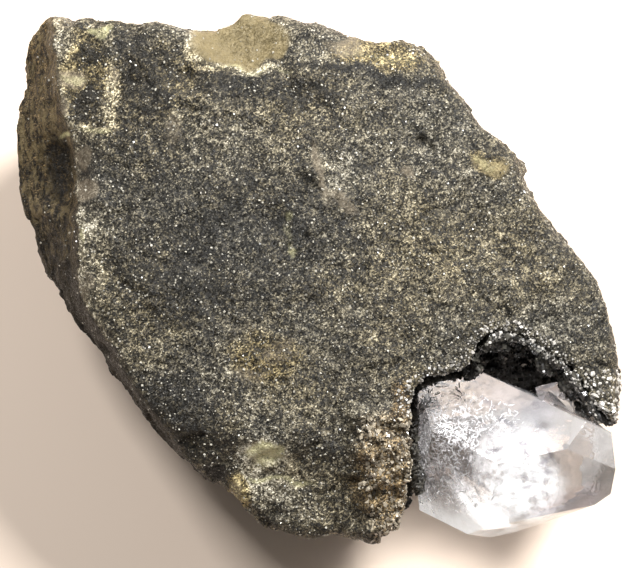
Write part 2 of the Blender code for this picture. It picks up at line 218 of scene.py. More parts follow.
def merged_copy(node: bpy.types.Object, name: str) -> bpy.types.Object:
    """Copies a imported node's triangles into a new object and merges their corners.

    Args:
        node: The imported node, which is left as it is.
        name: The new object's name.

    Returns:
        The new object.
    """
    bm = bmesh.new()
    bm.from_mesh(node.data)
    bmesh.ops.remove_doubles(bm, verts=bm.verts, dist=MERGE_DISTANCE)
    return link_bmesh(name, bm)


def bake_modifiers(piece: bpy.types.Object) -> None:
    """Turns what the modifiers make into the piece's own mesh, and removes them.

    Args:
        piece: The object with the modifiers.
    """
    bpy.context.view_layer.update()
    graph = bpy.context.evaluated_depsgraph_get()
    mesh = bpy.data.meshes.new_from_object(piece.evaluated_get(graph))
    piece.modifiers.clear()
    mesh.name = piece.name
    piece.data = mesh


def remesh(piece: bpy.types.Object, voxel: float, smoothing: int) -> None:
    """Rebuilds the piece as one clean skin of small faces, and smooths it.

    Args:
        piece: The object to rebuild.
        voxel: The faces' size in millimetres.
        smoothing: How many times the skin is smoothed.
    """
    grid = piece.modifiers.new("skin", "REMESH")
    grid.mode = "VOXEL"
    grid.voxel_size = voxel * MM
    relax = piece.modifiers.new("relax", "SMOOTH")
    relax.iterations = smoothing
    relax.factor = 0.5
    bake_modifiers(piece)


def dress(piece: bpy.types.Object, material: bpy.types.Material) -> bpy.types.Object:
    """Gives a finished piece its material, its body and its slot, and reports it.

    Args:
        piece: The finished piece.
        material: Its only material.

    Returns:
        The piece.
    """
    piece.data.materials.clear()
    piece.data.materials.append(material)
    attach(piece, BODY)
    log.info("%s: %d faces", piece.name, len(piece.data.polygons))
    return piece


# ---------------------------------------------------------------- node trees


class Graph:
    """A node tree under construction."""

    def __init__(self, tree: bpy.types.NodeTree) -> None:
        """Starts on a tree, which may hold nodes already."""
        self.tree = tree

    def node(self, kind: str, inputs: dict[Any, Any] | None = None, **settings: Any) -> Any:
        """Adds a node.

        Args:
            kind: The node's type.
            inputs: For each socket, by name or number, a value or the socket that feeds it.
            **settings: Properties of the node, set before its inputs.

        Returns:
            The new node.
        """
        made = self.tree.nodes.new(kind)
        for key, value in settings.items():
            setattr(made, key, value)
        for key, value in (inputs or {}).items():
            self.feed(made.inputs[key], value)
        return made

    def feed(self, socket: bpy.types.NodeSocket, value: Any) -> None:
        """Sets an input socket to a value, or links it where the value is a socket.

        Args:
            socket: The input socket.
            value: The value, or the output socket that feeds it.
        """
        if isinstance(value, bpy.types.NodeSocket):
            self.tree.links.new(value, socket)
        else:
            socket.default_value = value

    def math(self, operation: str, *values: Any, clamp: bool = False) -> Any:
        """Adds a Math node.

        Args:
            operation: Its operation.
            *values: Its inputs, each a number or a socket.
            clamp: Whether the result is held between 0 and 1.

        Returns:
            Its output socket.
        """
        inputs = dict(enumerate(values))
        made = self.node("ShaderNodeMath", inputs, operation=operation, use_clamp=clamp)
        return made.outputs[0]

    def plus(self, first: Any, second: Any) -> Any:
        """Adds two numbers."""
        return self.math("ADD", first, second)

    def minus(self, first: Any, second: Any) -> Any:
        """Takes the second number from the first."""
        return self.math("SUBTRACT", first, second)

    def times(self, first: Any, second: Any) -> Any:
        """Multiplies two numbers."""
        return self.math("MULTIPLY", first, second)

    def vector(self, x: Any, y: Any, z: Any) -> Any:
        """Joins three numbers into a vector."""
        return self.node("ShaderNodeCombineXYZ", {"X": x, "Y": y, "Z": z}).outputs[0]

    def split(self, vector: Any) -> Any:
        """Splits a vector into its outputs X, Y and Z."""
        return self.node("ShaderNodeSeparateXYZ", {0: vector}).outputs

    def vector_math(self, operation: str, first: Any, second: Any = None, scale: Any = None) -> Any:
        """Adds a Vector Math node.

        Args:
            operation: Its operation.
            first: Its first vector.
            second: Its second vector, if it takes one.
            scale: Its scale, if it takes one.

        Returns:
            Its vector socket.
        """
        given = {0: first, 1: second, "Scale": scale}
        inputs = {key: value for key, value in given.items() if value is not None}
        return self.node("ShaderNodeVectorMath", inputs, operation=operation).outputs["Vector"]


class ShaderGraph(Graph):
    """A material's node tree, with its Principled shader."""

    def __init__(self, name: str) -> None:
        """Makes the material, and points in millimetres for its patterns.

        Args:
            name: The material's name.
        """
        self.material = bpy.data.materials.new(name)
        self.material.use_nodes = True
        super().__init__(self.material.node_tree)
        self.shader = self.tree.nodes["Principled BSDF"]
        place = self.node("ShaderNodeTexCoord").outputs["Object"]
        self.place = self.vector_math("SCALE", place, scale=1 / MM)

    def set(self, socket: str, value: Any) -> None:
        """Sets or links one input of the shader."""
        self.feed(self.shader.inputs[socket], value)

    def along_face(self, axis: int) -> Any:
        """Gives a coordinate of the face's frame, in millimetres.

        Args:
            axis: 0 for u, 1 for v and 2 for w.

        Returns:
            The coordinate's socket.
        """
        turned = FACE.matrix().inverted()
        direction = tuple(turned[axis][:3])
        made = self.node("ShaderNodeVectorMath", {0: self.place, 1: direction},
                         operation="DOT_PRODUCT")
        return self.plus(made.outputs["Value"], turned[axis][3] / MM)

    def oval(self, centre: Place, half: Place, turn: float, edge: float) -> Any:
        """Marks an oval on the face.

        Args:
            centre: The oval's u and v, in millimetres.
            half: Its half-widths in millimetres.
            turn: Its turn in degrees.
            edge: The edge's width as a share of the half-widths.

        Returns:
            The mask's socket: 1 in the oval, falling to 0 over its ragged edge.
        """
        face = self.vector(self.along_face(0), self.along_face(1), 0.0)
        laid = self.node("ShaderNodeMapping", {
            "Vector": face, "Location": (*centre, 0.0),
            "Rotation": (0.0, 0.0, math.radians(turn)), "Scale": (*half, 1.0),
        }, vector_type="TEXTURE").outputs["Vector"]
        reach = self.node("ShaderNodeVectorMath", {0: laid}, operation="LENGTH").outputs["Value"]
        ragged = self.wave(0.35, 4.0, 1.1)
        return self.spread(self.plus(reach, ragged), 1 - edge, 1 + edge, 1.0, 0.0)

    def noise(self, scale: float, detail: float = 3.0, roughness: float = 0.55,
              at: Any = None) -> Any:
        """Adds a noise pattern.

        Args:
            scale: Its patches a millimetre.
            detail: How many finer steps it has.
            roughness: How strong they are.
            at: Where it is read, if not at the surface's own place.

        Returns:
            The socket of a number from 0 to 1.
        """
        inputs = {"Vector": at or self.place, "Scale": scale, "Detail": detail,
                  "Roughness": roughness}
        return self.node("ShaderNodeTexNoise", inputs).outputs["Fac"]

    def wave(self, scale: float, detail: float, height: float, roughness: float = 0.55) -> Any:
        """Gives a noise pattern about 0, as high as given."""
        return self.times(self.minus(self.noise(scale, detail, roughness), 0.5), height)

    def cells(self, scale: float) -> Any:
        """Adds a Voronoi pattern of grains and returns its node."""
        return self.node("ShaderNodeTexVoronoi", {"Vector": self.place, "Scale": scale})

    def channel(self, colour: Any, index: int) -> Any:
        """Gives one channel of a colour: 0 for red, 1 for green, 2 for blue."""
        return self.node("ShaderNodeSeparateColor", {0: colour}).outputs[index]

    def attribute(self, name: str) -> Any:
        """Reads one of the mesh's own numbers."""
        return self.node("ShaderNodeAttribute", attribute_name=name).outputs["Fac"]

    def ramp(self, factor: Any, stops: Sequence[tuple[float, Colour]]) -> Any:
        """Adds a colour ramp and returns its colour.

        Args:
            factor: The socket that drives it.
            stops: Places from 0 to 1 with their colours.

        Returns:
            The ramp's colour socket.
        """
        made = self.node("ShaderNodeValToRGB", {"Fac": factor})
        elements = made.color_ramp.elements
        while len(elements) < len(stops):
            elements.new(1.0)
        for element, (place, colour) in zip(elements, stops):
            element.position = place
            element.color = (*colour, 1.0)
        return made.outputs["Color"]

    def mix(self, factor: Any, first: Any, second: Any, blend: str = "MIX") -> Any:
        """Mixes two colours.

        Args:
            factor: How far the result is the second, from 0 to 1.
            first: The first colour, or its socket.
            second: The second colour, or its socket.
            blend: How they are mixed.

        Returns:
            The result's socket.
        """
        first, second = ((*c, 1.0) if isinstance(c, tuple) else c for c in (first, second))
        inputs = {0: factor, 6: first, 7: second}
        return self.node("ShaderNodeMix", inputs, data_type="RGBA", blend_type=blend).outputs[2]

    def spread(self, value: Any, low: float, high: float, to_low: float, to_high: float) -> Any:
        """Maps a value's range to another, held at its ends."""
        inputs = {"Value": value, "From Min": low, "From Max": high, "To Min": to_low,
                  "To Max": to_high}
        return self.node("ShaderNodeMapRange", inputs).outputs["Result"]

    def facets(self, colour: Any, tilt: float) -> Any:
        """Tilts the surface grain by grain and returns the normal.

        Args:
            colour: A random colour for each grain.
            tilt: How far the grains tilt.

        Returns:
            The normal's socket.
        """
        centred = self.vector_math("SUBTRACT", colour, (0.5, 0.5, 0.5))
        scaled = self.vector_math("SCALE", centred, scale=tilt)
        surface = self.node("ShaderNodeNewGeometry").outputs["Normal"]
        return self.vector_math("NORMALIZE", self.vector_math("ADD", surface, scaled))

    def bump(self, height: Any, distance: float, normal: Any = None) -> Any:
        """Adds a Bump node.

        Args:
            height: The socket of the height.
            distance: How high a height of 1 stands, in millimetres.
            normal: The normal that it starts from, if not the surface's own.

        Returns:
            The normal's socket.
        """
        inputs = {"Height": height, "Distance": distance * MM, "Strength": 1.0}
        if normal is not None:
            inputs["Normal"] = normal
        return self.node("ShaderNodeBump", inputs).outputs["Normal"]


# ---------------------------------------------------------------- finishes


class Tint(Enum):
    """The kinds of patch that are painted on the dolostone. The dark tint holds dark rock and also
    painted shade: on the flank, in the bite, in a pit, under rims and on the left of the broad
    face.
    """

    PALE = "pale"
    DARK = "dark"
    OCHRE = "ochre"
    PLAIN = "plain"
    CLAST = "clast"
    LIME = "lime"
    BROWN = "brown"


@dataclass(frozen=True)
class DolostoneFinish:
    """Sugary dolostone: dark and light grains that glint each its own way."""

    grain: float = 4.3
    darkest: Colour = (0.009, 0.0080, 0.0062)
    dark: Colour = (0.030, 0.0265, 0.0195)
    middle: Colour = (0.098, 0.086, 0.062)
    light: Colour = (0.285, 0.257, 0.193)
    lightest: Colour = (0.78, 0.74, 0.64)
    plain: Colour = (0.24, 0.195, 0.135)
    clast: Colour = (0.228, 0.178, 0.086)
    lime: Colour = (0.80, 0.75, 0.40)
    ochre: Colour = (1.12, 0.96, 0.57)
    brown: Colour = (0.96, 0.75, 0.50)
    flank: Colour = (0.20, 0.150, 0.072)
    streak: float = 0.3
    coarse: float = 0.46
    fine: float = 0.24
    lightness: float = 0.10
    paler: float = 0.26
    darker: float = 0.30
    waves: tuple[Pair, ...] = ((0.06, 0.30), (0.33, 0.46), (1.0, 0.95))

    def build(self) -> bpy.types.Material:
        """Returns the material."""
        g = ShaderGraph("sugary_dolostone")
        grains = g.cells(self.grain)
        fine = g.cells(self.grain * 2.1)
        chance = g.channel(grains.outputs["Color"], 0)
        small = g.channel(fine.outputs["Color"], 1)
        broken = g.wave(0.55, 5.0, 1.3, 0.72)
        masks = {}
        for tint in Tint:
            painted = g.attribute(tint.value)
            rough_edge = g.plus(painted, broken)
            masks[tint] = g.times(g.spread(rough_edge, 0.2, 0.75, 0.0, 1.0), painted)
        share = self.grain_share(g, chance, small, masks)
        colour = g.ramp(share, [
            (0.22, self.darkest), (0.40, self.dark), (0.57, self.middle), (0.76, self.light),
            (0.95, self.lightest),
        ])
        colour = self.tinted(g, colour, masks)
        g.set("Base Color", colour)
        shine = g.math("FRACT", g.times(chance, 7.0))
        g.set("Roughness", g.spread(shine, 0.0, 1.0, 0.32, 0.85))
        g.set("Specular IOR Level", 0.4)
        tilted = g.facets(grains.outputs["Color"], 0.9)
        g.set("Normal", g.bump(fine.outputs["Distance"], 0.07, tilted))
        return g.material

    def grain_share(self, g: ShaderGraph, chance: Any, small: Any,
                    masks: dict[Tint, Any]) -> Any:
        """Gives how light each grain is.

        Args:
            g: The material's tree.
            chance: A random number for each grain.
            small: A random number for each of the finer grains.
            masks: Where each tint lies.

        Returns:
            The socket of a number from about 0 to 1.
        """
        share = g.plus(g.times(chance, self.coarse), g.times(small, self.fine))
        for scale, strength in self.waves:
            share = g.plus(share, g.wave(scale, 4.0, strength, 0.6))
        share = g.plus(share, self.lightness)
        share = g.plus(share, g.times(masks[Tint.PALE], self.paler))
        # The dark tint lowers the grains' lightness, for dark rock and for painted shade.
        return g.minus(share, g.times(g.attribute(Tint.DARK.value), self.darker))

    def tinted(self, g: ShaderGraph, colour: Any, masks: dict[Tint, Any]) -> Any:
        """Tints the grains' colour patch by patch.

        Args:
            g: The material's tree.
            colour: The grains' colour.
            masks: Where each tint lies.

        Returns:
            The tinted colour's socket.
        """
        warm = g.spread(g.noise(0.07, 3.0), 0.35, 0.65, 0.0, 0.5)
        warm = g.math("MAXIMUM", warm, masks[Tint.OCHRE])
        colour = g.mix(warm, colour, g.mix(1.0, colour, self.ochre, "MULTIPLY"))
        colour = g.mix(masks[Tint.BROWN], colour, g.mix(1.0, colour, self.brown, "MULTIPLY"))
        u, v, w = (g.along_face(axis) for axis in range(3))
        streaked = g.vector(u, g.times(v, self.streak), w)
        streaks = g.spread(g.noise(1.1, 4.0, 0.7, streaked), 0.46, 0.62, 0.0, 1.0)
        streaks = g.times(streaks, g.attribute("flank"))
        colour = g.mix(streaks, colour, self.flank)
        cloud = g.spread(g.noise(0.6, 4.0), 0.3, 0.7, 0.72, 1.0)
        for tint, flat, cover in ((Tint.PLAIN, self.plain, 0.72), (Tint.CLAST, self.clast, 0.90),
                                  (Tint.LIME, self.lime, 0.75)):
            cloudy = g.mix(cloud, BLACK, flat)
            colour = g.mix(g.times(masks[tint], cover), colour, cloudy)
        return colour


@dataclass(frozen=True)
class CrystalFinish:
    """Small glassy crystals, each a little lighter or darker than the next; those in the vug also
    take the lining's painted shade.
    """

    name: str
    dark: Colour
    light: Colour
    transmission: float = 0.0
    roughness: float = 0.14
    ior: float = 1.6
    shaded_in_cave: bool = False

    def build(self) -> bpy.types.Material:
        """Returns the material."""
        g = ShaderGraph(self.name)
        tone = g.attribute("tone")
        # Crystals in the vug are darkened by the lining's painted shade.
        if self.shaded_in_cave:
            tone = g.times(tone, g.attribute("shade"))
        share = g.math("ADD", tone, g.wave(1.6, 3.0, 0.5), clamp=True)
        g.set("Base Color", g.ramp(share, [(0.0, self.dark), (0.6, self.light), (1.0, self.light)]))
        g.set("Roughness", self.roughness)
        g.set("IOR", self.ior)
        g.set("Transmission Weight", self.transmission)
        g.set("Normal", g.bump(g.noise(3.5, 2.0), 0.03))
        return g.material


@dataclass(frozen=True)
class LiningFinish:
    """The vug's lining: dark brown-grey rock under fine crystals, painted nearly black with painted
    shade inside the vug.
    """

    grain: float = 3.6
    painted_shade: Colour = (0.004, 0.0035, 0.003)
    dark: Colour = (0.012, 0.010, 0.008)
    middle: Colour = (0.085, 0.075, 0.058)
    light: Colour = (0.32, 0.29, 0.23)

    def build(self) -> bpy.types.Material:
        """Returns the material."""
        g = ShaderGraph("vug_lining")
        grains = g.cells(self.grain)
        chance = g.channel(grains.outputs["Color"], 0)
        share = g.plus(chance, g.wave(0.35, 4.0, 0.8))
        colour = g.ramp(share, [(0.1, self.dark), (0.6, self.middle), (1.0, self.light)])
        # The shade attribute mixes in painted shade, nearly black, inside the vug.
        g.set("Base Color", g.mix(g.attribute("shade"), self.painted_shade, colour))
        g.set("Roughness", g.spread(chance, 0.0, 1.0, 0.25, 0.7))
        g.set("Normal", g.bump(g.noise(1.2, 3.0), 0.15, g.facets(grains.outputs["Color"], 0.9)))
        return g.material


@dataclass(frozen=True)
class Zone:
    """A tinted oval zone on the quartz, whole or broken into small flecks. Whole zones paint tones
    of reflection and shade into the clear quartz.
    """

    tint: Colour
    centre: Place
    half: Place
    turn: float = 0.0
    edge: float = 0.35
    flecks: float = 0.0


@dataclass(frozen=True)
class QuartzFinish:
    """Clear quartz, milky in places, with growth waves on its faces. Its grey, lavender and pink
    zones are painted reflection and painted shade, the tones of what shows through and off the
    clear crystal.
    """

    clear: Colour = (0.985, 0.985, 0.98)
    ior: float = 1.544
    roughness: float = 0.03
    clearness: float = 0.80
    # Whole zones paint the tones of reflections and of what shows through the crystal; flecked
    # zones break a grey into small flecks.
    zones: tuple[Zone, ...] = (
        Zone((0.50, 0.485, 0.51), (29.5, -16.0), (9.5, 4.2), -20.0),
        Zone((0.63, 0.595, 0.57), (40.5, -24.0), (5.0, 9.5), 12.0),
        Zone((0.80, 0.72, 0.74), (38.0, -32.6), (5.0, 1.8), 18.0),
        Zone((0.60, 0.58, 0.58), (19.0, -23.5), (7.6, 8.6), 0.0, 0.3),
        Zone((0.30, 0.285, 0.285), (20.5, -19.5), (8.0, 4.6), -10.0, 0.4, 0.9),
        Zone((0.34, 0.325, 0.32), (17.0, -24.0), (5.2, 6.5), 0.0, 0.4, 1.8),
        Zone((0.26, 0.245, 0.25), (20.5, -29.3), (5.4, 3.6), -30.0, 0.4, 1.4),
        Zone((0.24, 0.225, 0.22), (33.6, -21.2), (0.9, 0.55), 0.0, 0.5),
        Zone((0.66, 0.66, 0.69), (31.5, -27.5), (6.5, 5.5), 0.0, 0.5, 1.1),
    )
    marks: tuple[tuple[float, float, float, float], ...] = (
        (30.3, -23.9, 1.3, -8.0), (30.8, -25.3, 1.1, -55.0), (34.3, -25.2, 1.0, -60.0),
        (33.6, -26.4, 1.2, 35.0), (33.9, -28.3, 1.1, 5.0), (26.1, -24.9, 1.2, 10.0),
        (27.8, -20.6, 1.4, -30.0), (25.4, -17.9, 1.6, -35.0), (31.2, -30.4, 1.2, 15.0),
    )
    mark_tint: Colour = (0.30, 0.29, 0.32)
    mark_width: float = 0.38

    def build(self) -> bpy.types.Material:
        """Returns the material."""
        g = ShaderGraph("clear_quartz")
        colour: Any = self.clear
        for zone in self.zones:
            mask = g.oval(zone.centre, zone.half, zone.turn, zone.edge)
            if zone.flecks:
                flecks = g.spread(g.noise(zone.flecks, 5.0, 0.75), 0.42, 0.56, 0.0, 1.0)
                mask = g.times(mask, flecks)
            colour = g.mix(mask, colour, zone.tint)
        for u, v, length, turn in self.marks:
            mask = g.oval((u, v), (length, self.mark_width), turn, 0.6)
            colour = g.mix(mask, colour, self.mark_tint)
        g.set("Base Color", colour)
        g.set("Roughness", self.roughness)
        g.set("IOR", self.ior)
        g.set("Transmission Weight", self.clearness)
        waves = g.plus(g.noise(0.35, 2.0), g.times(g.noise(1.8, 2.0), 0.12))
        g.set("Normal", g.bump(waves, 0.25))
        return g.material


@dataclass(frozen=True)
class InclusionFinish:
    """Healed cracks, feathers and specks inside the quartz."""

    name: str
    colour: Colour
    roughness: float

    def build(self) -> bpy.types.Material:
        """Returns the material."""
        g = ShaderGraph(self.name)
        tone = g.spread(g.attribute("tone"), 0.0, 1.0, 0.75, 1.0)
        g.set("Base Color", g.mix(tone, BLACK, self.colour))
        g.set("Roughness", self.roughness)
        return g.material


@dataclass(frozen=True)
class MilkAndLightFinish:
    """A milky veil that fades out towards its rim. Its white is partly painted light, standing in
    for bright light that shines through the crystal.
    """

    colour: Colour = (0.97, 0.965, 0.96)
    shade: Colour = (0.80, 0.78, 0.79)
    cover: float = 0.62

    def build(self) -> bpy.types.Material:
        """Returns the material."""
        g = ShaderGraph("milky_veil_and_light")
        cloud = g.spread(g.noise(0.5, 5.0, 0.65), 0.36, 0.56, 0.35, 1.0)
        fade = g.times(g.attribute("fade"), self.cover)
        g.set("Base Color", g.mix(cloud, self.shade, self.colour))
        g.set("Roughness", 0.6)
        g.set("Alpha", g.times(fade, cloud))
        return g.material


# ---------------------------------------------------------------- crystals by Geometry Nodes


class Habit(Enum):
    """The shapes that small crystals grow in."""

    RHOMB = "rhomb"
    POINT = "point"
    FLAKE = "flake"


@dataclass(frozen=True)
class Druse:
    """A growth of small crystals over a surface, sizes in millimetres."""

    name: str
    habit: Habit
    mask: str
    smallest: float
    largest: float
    spacing: float
    density: float
    lean: float = 0.6
    sink: float = 0.2
    spin: float = math.pi
    stretch: Triple = (1.0, 1.0, 1.0)
    seed: int = SEED

    SHEARS = (0.28, 0.168)
    ON_CORNER = (math.radians(45), math.radians(35.3), 0.0)
    FINE_BIAS = 2.2
    SOCKETS = {
        "Geometry": "Geometry", "Smallest": "Float", "Largest": "Float", "Spacing": "Float",
        "Density": "Float", "Lean": "Float", "Spin": "Float", "Sink": "Float",
        "Stretch": "Vector", "Seed": "Int", "Material": "Material",
    }

    def tree(self) -> bpy.types.NodeTree:
        """Builds the tree that scatters the crystals and returns it."""
        tree = bpy.data.node_groups.new(self.name, "GeometryNodeTree")
        for name, kind in self.SOCKETS.items():
            tree.interface.new_socket(name, in_out="INPUT", socket_type=f"NodeSocket{kind}")
        tree.interface.new_socket("Geometry", in_out="OUTPUT", socket_type="NodeSocketGeometry")
        g = Graph(tree)
        given = g.node("NodeGroupInput").outputs
        mask = g.node("GeometryNodeInputNamedAttribute", {"Name": self.mask}, data_type="FLOAT")
        spots = g.node("GeometryNodeDistributePointsOnFaces", {
            "Mesh": given["Geometry"], "Distance Min": given["Spacing"],
            "Density Max": given["Density"], "Density Factor": mask.outputs["Attribute"],
            "Seed": given["Seed"],
        }, distribute_method="POISSON")
        chance = self.random(g, given["Seed"], 1)
        biased = g.math("POWER", chance, self.FINE_BIAS)
        span = g.minus(given["Largest"], given["Smallest"])
        size = g.plus(given["Smallest"], g.times(biased, span))
        seated = g.node("GeometryNodeCaptureAttribute", {"Geometry": spots.outputs["Points"]})
        seated.capture_items.new("FLOAT", "size")
        tree.links.new(size, seated.inputs["size"])
        down = g.times(g.times(seated.outputs["size"], given["Sink"]), -1.0)
        moved = g.node("GeometryNodeSetPosition", {
            "Geometry": seated.outputs["Geometry"],
            "Offset": g.vector_math("SCALE", spots.outputs["Normal"], scale=down),
        })
        leaning = self.random_vector(g, given["Seed"], (-1.0, -1.0, -1.0), (1.0, 1.0, 1.0))
        lean_by = g.vector(given["Lean"], given["Lean"], given["Spin"])
        turned = g.node("FunctionNodeRotateRotation", {
            "Rotation": spots.outputs["Rotation"],
            "Rotate By": g.node("FunctionNodeEulerToRotation", {
                0: g.vector_math("MULTIPLY", leaning, lean_by),
            }).outputs[0],
        }, rotation_space="LOCAL").outputs["Rotation"]
        uneven = self.random_vector(g, given["Seed"], (0.8, 0.8, 0.8), (1.15, 1.15, 1.25))
        drawn = g.vector_math("MULTIPLY", uneven, given["Stretch"])
        sizes = g.vector_math("SCALE", drawn, scale=seated.outputs["size"])
        crystals = g.node("GeometryNodeInstanceOnPoints", {
            "Points": moved.outputs["Geometry"], "Instance": self.crystal(g),
            "Rotation": turned, "Scale": sizes,
        })
        toned = g.node("GeometryNodeStoreNamedAttribute", {
            "Geometry": crystals.outputs["Instances"], "Name": "tone",
            "Value": self.random(g, given["Seed"], 2),
        }, data_type="FLOAT", domain="INSTANCE")
        real = g.node("GeometryNodeRealizeInstances", {"Geometry": toned.outputs["Geometry"]})
        painted = g.node("GeometryNodeSetMaterial", {
            "Geometry": real.outputs["Geometry"], "Material": given["Material"],
        })
        g.node("NodeGroupOutput", {"Geometry": painted.outputs["Geometry"]})
        return tree

    @staticmethod
    def random(g: Graph, seed: Any, step: int) -> Any:
        """Adds a random number from 0 to 1, with its own step of the seed."""
        inputs = {2: 0.0, 3: 1.0, "Seed": g.plus(seed, float(step))}
        return g.node("FunctionNodeRandomValue", inputs, data_type="FLOAT").outputs[1]

    @staticmethod
    def random_vector(g: Graph, seed: Any, low: Triple, high: Triple) -> Any:
        """Adds a random vector between two others."""
        inputs = {0: low, 1: high, "Seed": seed}
        return g.node("FunctionNodeRandomValue", inputs, data_type="FLOAT_VECTOR").outputs["Value"]

    def crystal(self, g: Graph) -> Any:
        """Builds one crystal of unit size.

        Args:
            g: The tree it is built in.

        Returns:
            The socket of its geometry.
        """
        if self.habit is Habit.RHOMB:
            shape = g.node("GeometryNodeMeshCube", {"Size": (1.0, 1.0, 1.0)}).outputs["Mesh"]
            return self.sheared(g, shape)
        height = {Habit.POINT: 1.5, Habit.FLAKE: 0.06}[self.habit]
        rod = g.node("GeometryNodeMeshCylinder", {
            "Vertices": 6, "Side Segments": 1 if self.habit is Habit.FLAKE else 2,
            "Radius": 0.5, "Depth": height,
        }).outputs["Mesh"]
        if self.habit is Habit.FLAKE:
            return rod
        parts = g.split(g.node("GeometryNodeInputPosition").outputs[0])
        tip = g.math("GREATER_THAN", parts["Z"], height * 0.4)
        middle = g.math("LESS_THAN", g.math("ABSOLUTE", parts["Z"]), height * 0.1)
        lifted = g.plus(parts["Z"], g.times(middle, height * 0.22))
        pinch = g.minus(1.0, tip)
        to = g.vector(g.times(parts["X"], pinch), g.times(parts["Y"], pinch), lifted)
        pointed = g.node("GeometryNodeSetPosition", {"Geometry": rod, "Position": to})
        return g.node("GeometryNodeMergeByDistance", {
            "Geometry": pointed.outputs["Geometry"], "Distance": 0.01,
        }).outputs["Geometry"]

    def sheared(self, g: Graph, shape: Any) -> Any:
        """Leans a cube into a dolomite rhomb that stands on its corner.

        Args:
            g: The tree it is built in.
            shape: The socket of the cube.

        Returns:
            The socket of the rhomb.
        """
        parts = g.split(g.node("GeometryNodeInputPosition").outputs[0])
        across, along = (g.times(parts["Z"], shear) for shear in self.SHEARS)
        shift = g.vector(across, along, 0.0)
        leaned = g.node("GeometryNodeSetPosition", {"Geometry": shape, "Offset": shift})
        return g.node("GeometryNodeTransform", {
            "Geometry": leaned.outputs["Geometry"], "Rotation": self.ON_CORNER,
        }).outputs["Geometry"]

    def grow(self, host: bpy.types.Object, material: bpy.types.Material) -> bpy.types.Object:
        """Grows the crystals over a host's surface.

        Args:
            host: The object that carries them. It is left as it is.
            material: The crystals' material.

        Returns:
            The crystals as one plain mesh object.
        """
        piece = link(self.name, host.data.copy())
        tree = self.tree()
        scatter = piece.modifiers.new("growth", "NODES")
        scatter.node_group = tree
        values = {
            "Smallest": self.smallest * MM, "Largest": self.largest * MM,
            "Spacing": self.spacing * MM, "Density": self.density / MM ** 2,
            "Lean": self.lean, "Spin": self.spin, "Sink": self.sink, "Stretch": self.stretch,
            "Seed": self.seed, "Material": material,
        }
        for item in tree.interface.items_tree:
            if item.item_type == "SOCKET" and item.name in values:
                scatter[item.identifier] = values[item.name]
        bake_modifiers(piece)
        return piece


# ---------------------------------------------------------------- the block


@dataclass(frozen=True)
class Patch:
    """An oval patch on the broad face: where it is, its half-widths, turn and strength."""

    tint: Tint
    centre: Place
    half: Place
    strength: float = 1.0
    turn: float = 0.0
    edge: float = 0.45

    def cover(self, face: np.ndarray, warp: np.ndarray) -> np.ndarray:
        """Gives the patch's share at each place.

        Args:
            face: An (n, 3) array of u, v, w.
            warp: An (n, 2) array of shifts that make its outline irregular.

        Returns:
            An array of n shares, from 0 to the patch's strength.
        """
        offset = face[:, :2] + warp - np.array(self.centre)
        angle = math.radians(self.turn)
        along = offset[:, 0] * math.cos(angle) + offset[:, 1] * math.sin(angle)
        across = offset[:, 1] * math.cos(angle) - offset[:, 0] * math.sin(angle)
        reach = np.hypot(along / self.half[0], across / self.half[1])
        return self.strength * below(reach, 1 + self.edge, 2 * self.edge)


